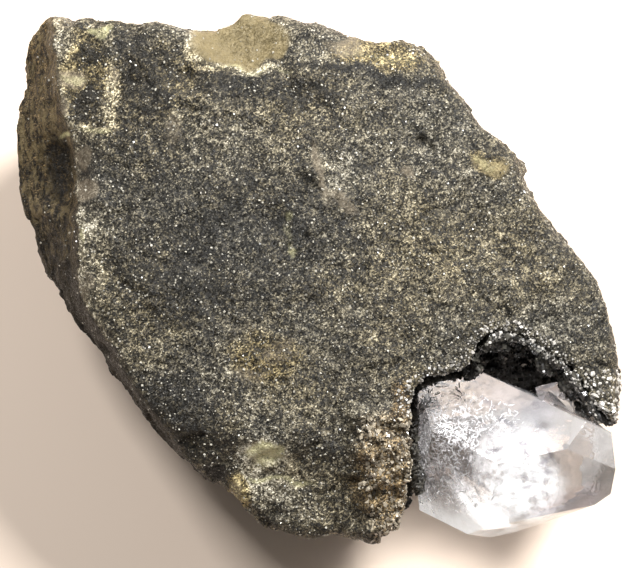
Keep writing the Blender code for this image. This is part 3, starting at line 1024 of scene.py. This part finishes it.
# For each tint: u, v, the half-widths, and where they differ from a Patch's own values,
# the strength, the turn and the edge.
PATCH_ROWS: dict[Tint, tuple[tuple[float, ...], ...]] = {
    Tint.CLAST: (
        (-12.0, 36.8, 7.4, 4.6, 1.0, 0, 0.12), (25.6, 17.7, 2.6, 1.1, 0.9, -15),
    ),
    Tint.PALE: (
        (-12.0, 32.2, 7.6, 0.8, 1.0, -3), (-19.0, 35.6, 1.6, 2.6, 1.0, 0),
        (-6.0, 37.4, 1.4, 2.6, 0.8, -20), (8.7, 35.2, 8.2, 1.9, 0.55, -10),
        (2.3, 16.0, 2.8, 5.2, 0.55, 14), (21.0, 18.0, 5.0, 7.0, 0.45, 25, 0.7),
        (19.6, -0.4, 2.8, 4.6, 0.45, 30), (-4.5, 6.6, 0.8, 3.6, 0.6),
        (-33.8, 23.6, 3.6, 1.2, 0.8, 5), (-31.6, 28.4, 1.1, 4.4, 1.0, 5),
        (-21.6, 25.2, 1.6, 3.2, 0.7, -10), (-34.2, 8.4, 2.0, 1.6, 0.9),
        (-35.6, 5.0, 1.0, 1.8, 0.8), (-37.4, 32.5, 1.6, 5.0, 0.8, 10),
        (-34.4, 21.6, 2.6, 1.2, 0.45, 25), (-25.5, -8.4, 9.0, 3.6, 0.25, -35),
        (-33.2, 3.6, 2.0, 8.0, 0.6), (-1.5, -31.5, 5.5, 4.0, 0.25, 0, 0.6),
        (-8.8, -25.6, 3.2, 2.3, 1.6), (-8.0, -29.0, 6.5, 5.0, 0.8, 0, 0.6),
        (-12.4, -31.0, 2.0, 3.0, 1.2, 25), (10.0, -28.0, 4.0, 9.0, 0.8, 5, 0.5),
        # The next patch lightens the upper right of the broad face: paler rock, and painted light.
        (30.0, 5.0, 9.0, 12.0, 0.30, 30, 0.7),
    ),
    Tint.LIME: (
        (-10.0, 32.2, 6.4, 0.45, 0.45, -3), (9.5, 34.6, 7.0, 0.9, 0.3, -10),
        (24.9, 18.1, 1.7, 0.8, 0.45, -12), (-4.2, 10.3, 0.6, 0.8, 0.6, 0, 0.7),
        (-4.4, 5.0, 0.6, 0.9, 0.6, 0, 0.7), (-4.3, 7.5, 0.7, 3.4, 0.35),
        (-33.8, 23.7, 2.6, 0.7, 0.5, 5), (-37.6, 31.0, 1.9, 1.0, 0.55, -20),
        (-32.9, 38.2, 2.0, 0.9, 0.6, 10), (-35.4, 7.9, 0.6, 1.3, 0.5),
        (-6.0, -29.4, 5.5, 0.7, 0.65, -5), (-8.6, -25.6, 2.8, 1.7, 0.85),
    ),
    Tint.OCHRE: (
        (8.7, 34.8, 8.6, 2.6, 0.9, -10), (25.5, 17.8, 3.2, 1.8, 0.9, -15),
        (18.0, 1.4, 5.0, 3.0, 0.6, 20), (-8.2, -10.9, 6.0, 4.4, 0.9),
        (-24.0, 30.5, 12.0, 8.0, 0.7, 0, 0.7), (-2.0, 27.0, 19.0, 6.0, 0.5, 0, 0.6),
        (-35.6, 31.5, 4.2, 8.0, 0.9), (-8.6, -25.8, 3.6, 3.0, 0.5),
        (-12.4, -31.0, 2.4, 3.2, 1.2, 25),
    ),
    Tint.BROWN: (
        (18.4, 1.0, 4.6, 3.4, 0.25, 20), (-8.8, -10.9, 6.0, 4.4, 0.35, 20, 0.7),
        (9.5, -29.0, 5.0, 10.5, 0.8, 5, 0.3), (12.6, -20.0, 2.4, 6.0, 1.0),
    ),
    Tint.PLAIN: (
        (4.0, 36.2, 3.6, 1.4, 0.8, -8), (-0.1, 17.0, 0.8, 5.2, 0.9, 12),
        (3.4, 12.2, 3.2, 1.2, 0.8, -30), (13.5, 16.8, 1.3, 0.9, 0.8),
        (19.6, -0.4, 1.6, 3.4, 0.35, 30), (-5.8, -9.8, 2.2, 2.5, 0.6, -20),
        (-10.4, -13.6, 2.7, 1.3, 0.6, 12), (-11.4, -7.6, 2.0, 1.6, 0.35, 0),
        (-22.1, 23.3, 1.7, 3.0, 0.6, -8), (-35.9, 18.4, 1.2, 1.9, 0.9, 0, 0.3),
        (-34.8, 14.2, 2.0, 1.4, 0.9, 25, 0.3), (-35.7, -0.6, 0.9, 2.8, 0.7),
        (-38.0, 31.2, 2.4, 1.7, 1.1, -20), (-31.8, 31.0, 1.2, 1.0, 0.6),
        (-38.9, 26.7, 1.0, 1.6, 0.8), (-12.6, -31.2, 1.4, 2.2, 0.7, 25),
    ),
    Tint.DARK: (
        # The next two patches darken thin bands below the pale band at the top and below the
        # clast's rim: darker rock, and painted shadow under those edges.
        (9.0, 31.3, 10.0, 0.8, 1.0, -10), (-8.0, 29.6, 12.0, 2.4, 0.6, -6),
        (-35.4, 16.3, 1.4, 0.4, 1.0, 15), (-35.3, 27.5, 2.4, 2.3, 1.0, 0, 0.4),
        (-35.0, 34.3, 2.8, 1.3, 0.9, 10, 0.4), (-28.2, 35.4, 2.4, 2.2, 0.7, 0, 0.4),
        (-25.6, 30.6, 4.6, 5.0, 0.75, 0, 0.5), (-30.0, 19.0, 9.0, 7.0, 0.35, 20, 0.7),
        # The next two patches darken the left and lower left of the broad face: darker rock, and
        # painted shade.
        (-13.5, 5.0, 16.0, 11.0, 0.55, 15, 0.7), (-22.5, -21.0, 7.0, 7.5, 0.75, 40, 0.6),
        # The second of the next two patches darkens the pit at u -15.5, v -28.8: painted shade in
        # the pit.
        (0.0, -25.0, 4.0, 3.0, 0.3, 0, 0.5), (-15.7, -28.4, 1.1, 0.8, 1.5),
    ),
}
PATCHES = tuple(
    Patch(tint, (u, v), (across, along), *rest)
    for tint, table in PATCH_ROWS.items() for u, v, across, along, *rest in table
)


# The line of the vug's mouth on the face, and how deep below the face the block's sides begin.
MOUTH: tuple[Place, ...] = (
    (13.4, -16.4), (14.4, -15.0), (17.4, -13.8), (21.2, -13.0), (23.2, -11.0), (24.0, -8.6),
    (26.5, -7.0), (30.0, -7.4), (33.8, -9.6), (37.6, -12.8), (40.6, -16.2), (43.4, -20.6),
    (50.0, -23.0), (52.0, -40.0), (36.0, -48.0), (20.0, -50.0), (13.8, -46.0), (13.5, -30.0),
)
SIDES = -14.0


def from_mouth(face: np.ndarray) -> np.ndarray:
    """Measures how far places are from the line of the vug's mouth.

    Args:
        face: An (n, 3) array of u, v, w.

    Returns:
        An array of n distances in millimetres.
    """
    nearest = np.full(len(face), 1e3)
    for here, there in zip(MOUTH, MOUTH[1:] + MOUTH[:1]):
        start, side = np.array(here), np.array(there) - np.array(here)
        offset = face[:, :2] - start
        share = np.clip(offset @ side / (side @ side), 0, 1)
        nearest = np.minimum(nearest, np.hypot(*(offset - share[:, None] * side).T))
    return nearest


@dataclass
class DolostoneBlock:
    """The broken block of dolostone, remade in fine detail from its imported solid.

    Lengths are in millimetres. A splinter has its size and steepness, a pit its u, v and size,
    and the arm its left, right, top and foot.
    """

    voxel: float = 0.5
    smoothing: int = 6
    splinters: tuple[Pair, ...] = ((5.5, 0.16), (2.3, 0.16))
    grain_size: float = 0.9
    grain_height: float = 0.16
    lump_size: float = 1.5
    lump_height: float = 0.7
    pits: tuple[Triple, ...] = (
        (15.2, 21.4, 0.7), (16.4, 20.2, 0.8), (24.0, 11.4, 0.5), (-15.5, -28.8, 1.0),
        (-20.0, 31.4, 0.9), (5.3, -29.8, 0.9), (-30.5, 24.0, 0.5), (8.0, 26.0, 0.5),
        (21.0, 8.0, 0.5), (-6.0, 20.0, 0.5), (-2.0, -20.0, 0.6), (27.5, 9.0, 0.5),
    )
    arm: tuple[float, float, float, float] = (5.5, 15.0, -19.0, -41.0)
    ridge: tuple[Place, ...] = (
        (-15.7, -30.2), (-18.7, -27.9), (-23.2, -21.9), (-27.7, -15.9), (-31.5, -9.2),
        (-35.2, -3.9), (-36.6, 0.6), (-36.3, 8.1), (-36.8, 14.9), (-37.2, 21.6), (-39.0, 26.1),
        (-39.8, 33.6), (-40.5, 39.9),
    )
    ridge_drop: float = 3.2
    ridge_wander: float = 0.7
    base: float = 0.3
    patches: tuple[Patch, ...] = PATCHES
    # Shares painted on the left flank: the brown is the flank's own colour, the dark share is
    # painted shade.
    flank_tints_and_shade: dict[Tint, float] = field(
        default_factory=lambda: {Tint.BROWN: 0.9, Tint.DARK: 0.9}
    )
    smooth_tints: tuple[Tint, ...] = (Tint.PLAIN, Tint.CLAST, Tint.LIME)
    # The bite is a hollow in the flank: its dark patch is painted shade in the hollow.
    bite: Patch = Patch(Tint.DARK, (-39.6, 17.4), (2.2, 4.8), 1.0, 4, 0.7)
    bite_rim: Patch = Patch(Tint.LIME, (-38.2, 22.6), (1.9, 0.4), 0.8, 18, 0.5)
    bite_depth: float = 0.8
    bite_warp: float = 0.4

    def build(self, node: bpy.types.Object) -> bpy.types.Object:
        """Makes the block.

        Args:
            node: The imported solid.

        Returns:
            The block, with the masks that its finish and its crystals read.
        """
        piece = merged_copy(node, "dolostone_block")
        remesh(piece, self.voxel, self.smoothing)
        self.break_up(piece.data)
        self.paint(piece.data)
        piece.data.shade_smooth()
        return piece

    def past_ridge(self, face: np.ndarray) -> np.ndarray:
        """Measures how far places lie to the left of the flank's ridge.

        Args:
            face: An (n, 3) array of u, v, w.

        Returns:
            An array of n distances in millimetres.
        """
        u, v = face[:, 0], face[:, 1]
        ridge = np.array(self.ridge)
        wander = np.array([noise.noise(Vector((0.0, at / 2.2, 0.0))) for at in v])
        return np.interp(v, ridge[:, 1], ridge[:, 0]) + self.ridge_wander * wander - u

    def break_up(self, mesh: bpy.types.Mesh) -> None:
        """Roughens the skin with flat splinters, grains and pits, and sharpens the ridge.

        Args:
            mesh: The block's mesh.
        """
        points, normals = points_of(mesh), normals_of(mesh)
        face = FACE.from_row(points)
        u, v, w = face.T
        off_face = below(w, -1.0, 5.0)
        heights = np.zeros(len(points))
        for cell, strength in self.splinters:
            rise = np.array([self.splinter(Vector(p), cell) for p in face])
            heights += rise * strength * (1 + 0.3 * off_face)
        heights += rough(face, self.grain_size, 0.8, 2.2) * self.grain_height
        heights += lumpy(face, self.lump_size) * self.lump_height * self.on_arm(face, 1.0)
        for pit_u, pit_v, size in self.pits:
            away = np.hypot(u - pit_u, v - pit_v) / size
            heights -= size * 0.9 * below(away, 1.5, 1.0) * (1 - off_face)
        heights -= self.bite_depth * self.bite.cover(face, np.zeros((len(face), 2))) * off_face
        heights *= np.where(points[:, 2] < self.base * MM, 0.0, 1.0)
        points += normals * (heights * MM)[:, None]
        points[:, 2] = np.maximum(points[:, 2], 0.0)
        drop = self.ridge_drop * above(self.past_ridge(face), 0.0, 1.8)
        drop *= above(w, SIDES, 6.0) * (points[:, 2] > 8 * MM)
        points -= (drop * MM)[:, None] * FACE.outward()
        move_points(mesh, points)

    def on_arm(self, face: np.ndarray, edge: float) -> np.ndarray:
        """Marks the crystal-grown arm beside the vug.

        Args:
            face: An (n, 3) array of u, v, w.
            edge: The width of the mark's edge in millimetres.

        Returns:
            An array of n shares: 1 on the arm and 0 off it.
        """
        u, v, w = face.T
        left, right, top, foot = self.arm
        leaning = smooth_step((u - left + 0.12 * (v + 25)) / edge)
        share = leaning * below(u, right, edge) * below(v, top, edge) * above(w, SIDES, edge)
        return share * (v > foot)

    @staticmethod
    def splinter(place: Vector, cell: float) -> float:
        """Gives the height of a surface of flat splinters, each tilted its own way.

        Args:
            place: Where it is read, in millimetres.
            cell: The splinters' size in millimetres.

        Returns:
            The height in millimetres.
        """
        at = place / cell
        seed = noise.voronoi(at)[1][0]
        return (at - seed).dot(noise.noise_vector(seed * 7.3)) * cell

    def paint(self, mesh: bpy.types.Mesh) -> None:
        """Stores where each tint lies, and where crystals grow.

        Args:
            mesh: The block's mesh.
        """
        points = points_of(mesh)
        face = FACE.from_row(points)
        u, v, w = face.T
        warp = shifts(face, 3.5, 1.5)
        past = self.past_ridge(face)
        flank = smooth_step(past / 0.7 + 0.3)
        strip = above(past, -1.9, 1.2) * (1 - flank) * above(v, -14, 6)
        bare = flank
        for tint in Tint:
            share = self.share_of(tint, face, warp, flank)
            if tint is Tint.PALE:
                share = np.maximum(share, 0.75 * strip)
            if tint in self.smooth_tints:
                bare = np.maximum(bare, share)
            set_attribute(mesh, tint.value, share)
        arm = self.on_arm(face, 1.5)
        lip = (u > 40.0) & (v > -26) & (v < -13) & (w > SIDES)
        rim = (from_mouth(face) < 1.8) & (w > -5) & (v > -24)
        bitten = np.minimum(self.bite.cover(face, warp * self.bite_warp), 1)
        # The flank's lighter streaks fade out towards its foot and in the bite, which leaves
        # painted shade there.
        upper = 0.08 + 0.92 * above(v, -2, 20)
        clumps = 0.2 + 0.8 * smooth_step(0.5 + 1.3 * lumpy(face, 1.3))
        up = above(w, -30, 12)
        clear_of_floor = points[:, 2] > 0.45 * MM
        set_attribute(mesh, "arm", arm)
        set_attribute(mesh, "lip", lip)
        set_attribute(mesh, "rim", rim * (1 - arm))
        set_attribute(mesh, "flank", flank * upper * (1 - bitten))
        sugar = (0.35 + 0.65 * up) * (1 - 0.85 * bare) * clumps * clear_of_floor
        set_attribute(mesh, "sugar", sugar)

    def share_of(self, tint: Tint, face: np.ndarray, warp: np.ndarray,
                 flank: np.ndarray) -> np.ndarray:
        """Gives how much of a tint lies at each place.

        Args:
            tint: The tint.
            face: An (n, 3) array of u, v, w.
            warp: An (n, 2) array of shifts that make the patches irregular.
            flank: Where the left flank is.

        Returns:
            An array of n shares.
        """
        v, w = face[:, 1], face[:, 2]
        share = np.zeros(len(face))
        for patch in self.patches:
            if patch.tint is tint:
                share = np.maximum(share, patch.cover(face, warp) * above(w, SIDES, 4.0))
        on_flank = self.flank_tints_and_shade.get(tint, 0.0) * flank
        # Painted shade on the flank, darker towards its foot.
        if tint is Tint.DARK:
            on_flank = on_flank * below(v, 30.0, 34.0)
            on_flank += 0.8 * flank * below(v, 10.0, 16.0)
        share = np.maximum(share * (1 - flank), on_flank)
        for patch in (self.bite, self.bite_rim):
            if patch.tint is tint:
                share = np.maximum(share, patch.cover(face, warp * self.bite_warp) * flank)
        return share


# ---------------------------------------------------------------- the vug


@dataclass
class VugLining:
    """The crust along the vug's wall, with painted shade inside the vug."""

    voxel: float = 0.35
    smoothing: int = 3
    bump_size: float = 1.4
    bumps: float = 0.22
    sink: float = 1.6
    left_sink: float = 6.0
    left_end: float = 21.0
    brim_start: float = 24.5

    def build(self, node: bpy.types.Object) -> bpy.types.Object:
        """Makes the lining.

        Args:
            node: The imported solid.

        Returns:
            The lining, with the masks that its finish and its crystals read.
        """
        piece = merged_copy(node, "vug_lining")
        remesh(piece, self.voxel, self.smoothing)
        mesh = piece.data
        points, normals = points_of(mesh), normals_of(mesh)
        face = FACE.from_row(points)
        u, w = face[:, 0], face[:, 2]
        heights = rough(face, self.bump_size, 0.9, 2.1)
        points += normals * (heights * self.bumps * MM)[:, None]
        inner = above(from_mouth(face), 0.9, 0.8)
        inner = 1 - (1 - inner) * above(u, self.brim_start, 1.5)
        sunk = self.sink * inner * above(w, -6.0, 4.0)
        sunk += self.left_sink * (1 - above(u, self.left_end, 3.0)) * above(w, SIDES, 8.0)
        points -= (sunk * MM)[:, None] * FACE.outward()
        move_points(mesh, points)
        set_attribute(mesh, "wall", np.ones(len(face)))
        # Painted shade: the lining is painted nearly black inside the vug and a little lighter
        # towards its mouth.
        set_attribute(mesh, "shade", 0.06 + 0.2 * above(w, -2.5, 2.5))
        set_attribute(mesh, "brim", (1 - inner) * above(w, -2.6, 1.6))
        mesh.shade_smooth()
        return piece


# ---------------------------------------------------------------- the quartz


@dataclass(frozen=True)
class Veil:
    """A healed crack inside the quartz: a bent, ragged sheet, in the face's frame."""

    centre: Triple
    facing: Triple
    half: Place
    turn: float
    bend: float
    cells: int = 18

    def seat(self) -> Matrix:
        """Returns the turn and shift from the sheet's own frame to the face's."""
        lean = Vector(self.facing).to_track_quat("Z", "Y").to_matrix().to_4x4()
        spin = Matrix.Rotation(math.radians(self.turn), 4, "Z")
        return Matrix.Translation(Vector(self.centre)) @ lean @ spin

    def fade(self, face: np.ndarray) -> np.ndarray:
        """Marks the sheet's middle.

        Args:
            face: An (n, 3) array of u, v, w.

        Returns:
            An array of n shares: 1 in the middle, falling to 0 at the rim.
        """
        back = np.array(self.seat().inverted())
        own = face @ back[:3, :3].T + back[:3, 3]
        reach = np.hypot(own[:, 0] / self.half[0], own[:, 1] / self.half[1])
        return below(reach, 1.05, 0.6) * (np.abs(own[:, 2]) < 2.0)

    def add_to(self, bm: bmesh.types.BMesh) -> None:
        """Adds the sheet as a grid of small faces.

        Args:
            bm: The bmesh that it is added to, in the face's frame.
        """
        seat = self.seat()
        rows = []
        for i in range(self.cells + 1):
            row = []
            for j in range(self.cells + 1):
                x, y = 2 * i / self.cells - 1, 2 * j / self.cells - 1
                ripple = noise.noise(Vector((x * 1.7, y * 1.7, self.centre[0]))) * 0.6
                lift = self.bend * (x * x + y * y) + ripple
                place = Vector((x * self.half[0], y * self.half[1], lift))
                ragged = 1.1 + 0.5 * noise.noise(Vector((x * 2, y * 2, self.centre[1])))
                row.append(None if math.hypot(x, y) > ragged else bm.verts.new(seat @ place * MM))
            rows.append(row)
        for upper, lower in zip(rows, rows[1:]):
            for corners in zip(upper, upper[1:], lower[1:], lower):
                if None not in corners:
                    bm.faces.new(corners)


VEILS = (
    Veil((20.2, -21.0, -6.5), (-0.3, 0.5, 1.0), (5.0, 3.4), 60, 0.8),
    Veil((18.6, -28.0, -9.0), (-0.5, -0.2, 1.0), (3.6, 5.0), 10, 0.9),
    Veil((23.2, -27.0, -8.0), (0.4, -0.3, 1.0), (3.8, 4.2), -35, -0.8),
    Veil((21.4, -31.2, -7.5), (0.5, 0.4, 0.7), (1.4, 3.4), 25, 0.5),
    Veil((26.5, -22.5, -5.5), (0.1, 0.6, 1.0), (4.4, 1.8), -20, 0.4),
    Veil((31.5, -26.5, -7.0), (0.2, -0.2, 1.0), (3.6, 2.4), 10, 0.4),
)
# Milky veils behind the crystal's lower middle: partly veils, partly white sheets that paint the
# light which shows through the crystal.
MILKY_AND_LIGHT_VEILS = (
    Veil((30.0, -28.4, -5.5), (0.15, 0.15, 1.0), (8.8, 7.2), -12, 0.2),
    Veil((25.0, -32.6, -9.0), (0.1, 0.1, 1.0), (7.2, 2.8), 4, 0.2),
)


@dataclass
class QuartzCrystal:
    """The clear double-ended crystal and what lies inside it."""

    edge: float = 0.45
    veils: tuple[Veil, ...] = VEILS
    milky_and_light: tuple[Veil, ...] = MILKY_AND_LIGHT_VEILS
    needled: tuple[Patch, ...] = (
        Patch(Tint.PALE, (18.6, -22.0), (5.4, 5.8), 1.0, 0, 0.4),
        Patch(Tint.PALE, (15.4, -26.0), (2.4, 7.0), 0.9, 0, 0.4),
        Patch(Tint.PALE, (19.6, -30.0), (5.6, 3.4), 0.6, -20, 0.4),
        Patch(Tint.PALE, (25.0, -18.5), (4.5, 1.6), 0.4, -20, 0.5),
    )

    @staticmethod
    def sheets(name: str, veils: Sequence[Veil]) -> tuple[bpy.types.Object, np.ndarray]:
        """Makes the sheets of some veils as one object.

        Args:
            name: The object's name.
            veils: The veils.

        Returns:
            The object, and its points' u, v, w as an (n, 3) array.
        """
        bm = bmesh.new()
        for veil in veils:
            veil.add_to(bm)
        bm.transform(FACE.matrix())
        piece = link_bmesh(name, bm)
        return piece, FACE.from_row(points_of(piece.data))

    def cracks(self) -> bpy.types.Object:
        """Makes the healed cracks' sheets, which only guide the flakes that grow on them."""
        piece, face = self.sheets("crack_guide", self.veils)
        dense = smooth_step(0.55 + 0.9 * rough(face, 1.6, 0.8, 2.1))
        set_attribute(piece.data, "wall", dense)
        return piece

    def milk_and_light(self) -> bpy.types.Object:
        """Makes the milky veils in the middle of the crystal, which are partly painted light."""
        piece, face = self.sheets("milky_veils_and_light", self.milky_and_light)
        fades = [veil.fade(face) for veil in self.milky_and_light]
        set_attribute(piece.data, "fade", np.max(fades, axis=0))
        piece.data.shade_smooth()
        return piece

    def frost(self, crystal: bpy.types.Object) -> bpy.types.Object:
        """Makes a fine copy of the crystal's skin, which only guides the needles at its front.

        Args:
            crystal: The crystal, which is left as it is.

        Returns:
            The guide, with the needles' density.
        """
        piece = link("needle_guide", crystal.data.copy())
        remesh(piece, 0.4, 0)
        face = FACE.from_row(points_of(piece.data))
        warp = shifts(face, 2.5, 1.2)
        share = np.zeros(len(face))
        for patch in self.needled:
            share = np.maximum(share, patch.cover(face, warp))
        front = normals_of(piece.data) @ FACE.outward()
        dense = smooth_step(0.6 + 1.1 * rough(face, 1.3, 0.8, 2.1))
        share *= dense * above(front, 0.0, 0.3)
        set_attribute(piece.data, "needles", share)
        return piece

    def build(self, node: bpy.types.Object) -> bpy.types.Object:
        """Makes the crystal's skin, with its edges a little worn.

        Args:
            node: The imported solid.

        Returns:
            The crystal.
        """
        piece = merged_copy(node, "quartz_crystal")
        bm = bmesh.new()
        bm.from_mesh(piece.data)
        bmesh.ops.dissolve_limit(bm, angle_limit=0.01, verts=bm.verts, edges=bm.edges)
        bm.to_mesh(piece.data)
        bm.free()
        worn = piece.modifiers.new("worn", "BEVEL")
        worn.width = self.edge * MM
        worn.segments = 3
        worn.limit_method = "ANGLE"
        worn.angle_limit = math.radians(10)
        bake_modifiers(piece)
        piece.data.set_sharp_from_angle(angle=math.radians(50))
        return piece


# ---------------------------------------------------------------- studio


@dataclass(frozen=True)
class Lamp:
    """A soft rectangular lamp, its place in metres in the row frame."""

    name: str
    place: Triple
    aim: Triple
    size: float
    power: float


@dataclass
class Studio:
    """The pale floor, soft lamps and the camera that looks square at the broad face."""

    camera_distance: float = 0.6
    lens: float = 225.0
    sensor: float = 36.0
    nearest: float = 0.01
    floor_size: float = 3.0
    floor_light: Colour = (0.80, 0.66, 0.545)
    floor_dark: Colour = (0.64, 0.53, 0.44)
    sky: float = 0.18
    sky_colour: Colour = (1.0, 0.985, 0.965)
    lamps: tuple[Lamp, ...] = (
        Lamp("left", (-0.169, 0.153, 0.345), (0.0, 0.0, 0.02), 0.10, 1.18),
        Lamp("right", (0.212, 0.227, 0.345), (0.0, 0.0, 0.02), 0.12, 4.6),
    )

    def build(self) -> None:
        """Makes the floor, the lamps, the sky and the camera."""
        self.floor()
        for lamp in self.lamps:
            self.lamp(lamp)
        world = bpy.data.worlds.new("studio")
        world.use_nodes = True
        background = world.node_tree.nodes["Background"]
        background.inputs["Color"].default_value = (*self.sky_colour, 1.0)
        background.inputs["Strength"].default_value = self.sky
        bpy.context.scene.world = world
        bpy.context.scene.view_settings.view_transform = "Standard"
        self.camera()

    def floor(self) -> None:
        """Makes the floor that the block rests on."""
        bm = bmesh.new()
        bmesh.ops.create_grid(bm, x_segments=1, y_segments=1, size=self.floor_size)
        piece = link_bmesh("floor", bm)
        g = ShaderGraph("pale_floor")
        cloud = g.spread(g.noise(0.02, 2.0), 0.3, 0.7, 0.0, 0.06)
        g.set("Base Color", g.mix(cloud, self.floor_light, self.floor_dark))
        g.set("Roughness", 0.8)
        piece.data.materials.append(g.material)

    @staticmethod
    def lamp(lamp: Lamp) -> None:
        """Makes one soft lamp.

        Args:
            lamp: Its place, aim, size and power.
        """
        light = bpy.data.lights.new(lamp.name, "AREA")
        light.size = lamp.size
        light.energy = lamp.power
        made = link(lamp.name, light)
        made.location = lamp.place
        towards = Vector(lamp.aim) - Vector(lamp.place)
        made.rotation_mode = "QUATERNION"
        made.rotation_quaternion = towards.to_track_quat("-Z", "Y")

    def camera(self) -> None:
        """Makes the camera, square to the broad face."""
        camera = bpy.data.cameras.new("camera")
        camera.lens = self.lens
        camera.sensor_width = self.sensor
        camera.clip_start = self.nearest
        made = link("camera", camera)
        made.matrix_world = FACE.matrix() @ Matrix.Translation((0, 0, self.camera_distance))
        bpy.context.scene.camera = made


# ---------------------------------------------------------------- the specimen


def grow_on_rock(block: bpy.types.Object, lining: bpy.types.Object) -> None:
    """Grows the small crystals over the block and the vug's lining.

    Args:
        block: The block.
        lining: The vug's lining.
    """
    sugar = CrystalFinish("dolomite_grains", (0.020, 0.018, 0.015), (0.46, 0.43, 0.36)).build()
    brown = CrystalFinish("brown_druse", (0.034, 0.024, 0.014), (0.53, 0.46, 0.35), 0.2).build()
    glassy = CrystalFinish("glassy_druse", (0.035, 0.031, 0.024), (0.72, 0.68, 0.62), 0.3).build()
    # The dim druse in the vug carries the lining's painted shade.
    dim = CrystalFinish("dim_druse", (0.008, 0.007, 0.006), (0.34, 0.325, 0.27), 0.2,
                        shaded_in_cave=True).build()
    rhomb, point = Habit.RHOMB, Habit.POINT
    for host, material, druse in (
        (block, sugar, Druse("dolomite_grains", rhomb, "sugar", 0.11, 0.30, 0.38, 1.7, 1.4, 0.1)),
        (block, brown, Druse("arm_druse", rhomb, "arm", 0.18, 0.62, 0.32, 5.0, 1.4, 0.25)),
        (block, brown, Druse("arm_points", point, "arm", 0.4, 1.0, 1.0, 0.6, 1.3, 0.35,
                             seed=SEED + 4)),
        (block, glassy, Druse("lip_druse", point, "lip", 0.30, 1.0, 0.6, 2.2, 1.2, 0.2)),
        (block, glassy, Druse("rim_druse", rhomb, "rim", 0.18, 0.5, 0.35, 4.0, 1.2, 0.1)),
        (lining, glassy, Druse("brim_druse", rhomb, "brim", 0.18, 0.5, 0.30, 6.0, 1.4, 0.1)),
        (lining, dim, Druse("vug_druse", rhomb, "wall", 0.25, 0.9, 0.6, 1.6, 1.2, 0.2)),
    ):
        dress(druse.grow(host, material), material)


def grow_in_quartz(quartz: bpy.types.Object) -> None:
    """Makes the feathers, specks, veils and needles inside the crystal.

    Args:
        quartz: The crystal.
    """
    crystal = QuartzCrystal()
    silver = InclusionFinish("healed_crack", (0.74, 0.73, 0.74), 0.25).build()
    soot = InclusionFinish("carbon_speck", (0.02, 0.018, 0.016), 0.4).build()
    feathers = Druse("quartz_feathers", Habit.FLAKE, "wall", 0.12, 0.4, 0.25, 8.0, 0.5, 0.0,
                     0.5, (2.4, 0.55, 1.0))
    specks = Druse("carbon_specks", Habit.RHOMB, "wall", 0.08, 0.30, 0.8, 0.5, 1.4, 0.0)
    needles = Druse("quartz_needles", Habit.FLAKE, "needles", 0.12, 0.45, 0.16, 14.0, 0.3, 0.0,
                    math.pi, (3.0, 0.5, 1.0))
    cracks = crystal.cracks()
    shadowless = [quartz, dress(feathers.grow(cracks, silver), silver)]
    dress(specks.grow(cracks, soot), soot)
    shadowless.append(dress(crystal.milk_and_light(), MilkAndLightFinish().build()))
    skin = crystal.frost(quartz)
    shadowless.append(dress(needles.grow(skin, silver), silver))
    for guide in (cracks, skin):
        bpy.data.objects.remove(guide)
    for piece in shadowless:
        piece.visible_shadow = False


def main() -> None:
    """Builds every piece in order and reports it."""
    logging.basicConfig(level=logging.INFO, format="%(message)s")
    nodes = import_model()["nodes"]
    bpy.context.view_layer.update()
    noise.seed_set(SEED)
    Studio().build()

    block = dress(DolostoneBlock().build(nodes["matrix"]), DolostoneFinish().build())
    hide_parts("matrix")
    lining = dress(VugLining().build(nodes["vug_crust"]), LiningFinish().build())
    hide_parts("vug_crust")
    grow_on_rock(block, lining)

    quartz = dress(QuartzCrystal().build(nodes["quartz"]), QuartzFinish().build())
    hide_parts("quartz")
    grow_in_quartz(quartz)


if __name__ == "__main__":
    main()
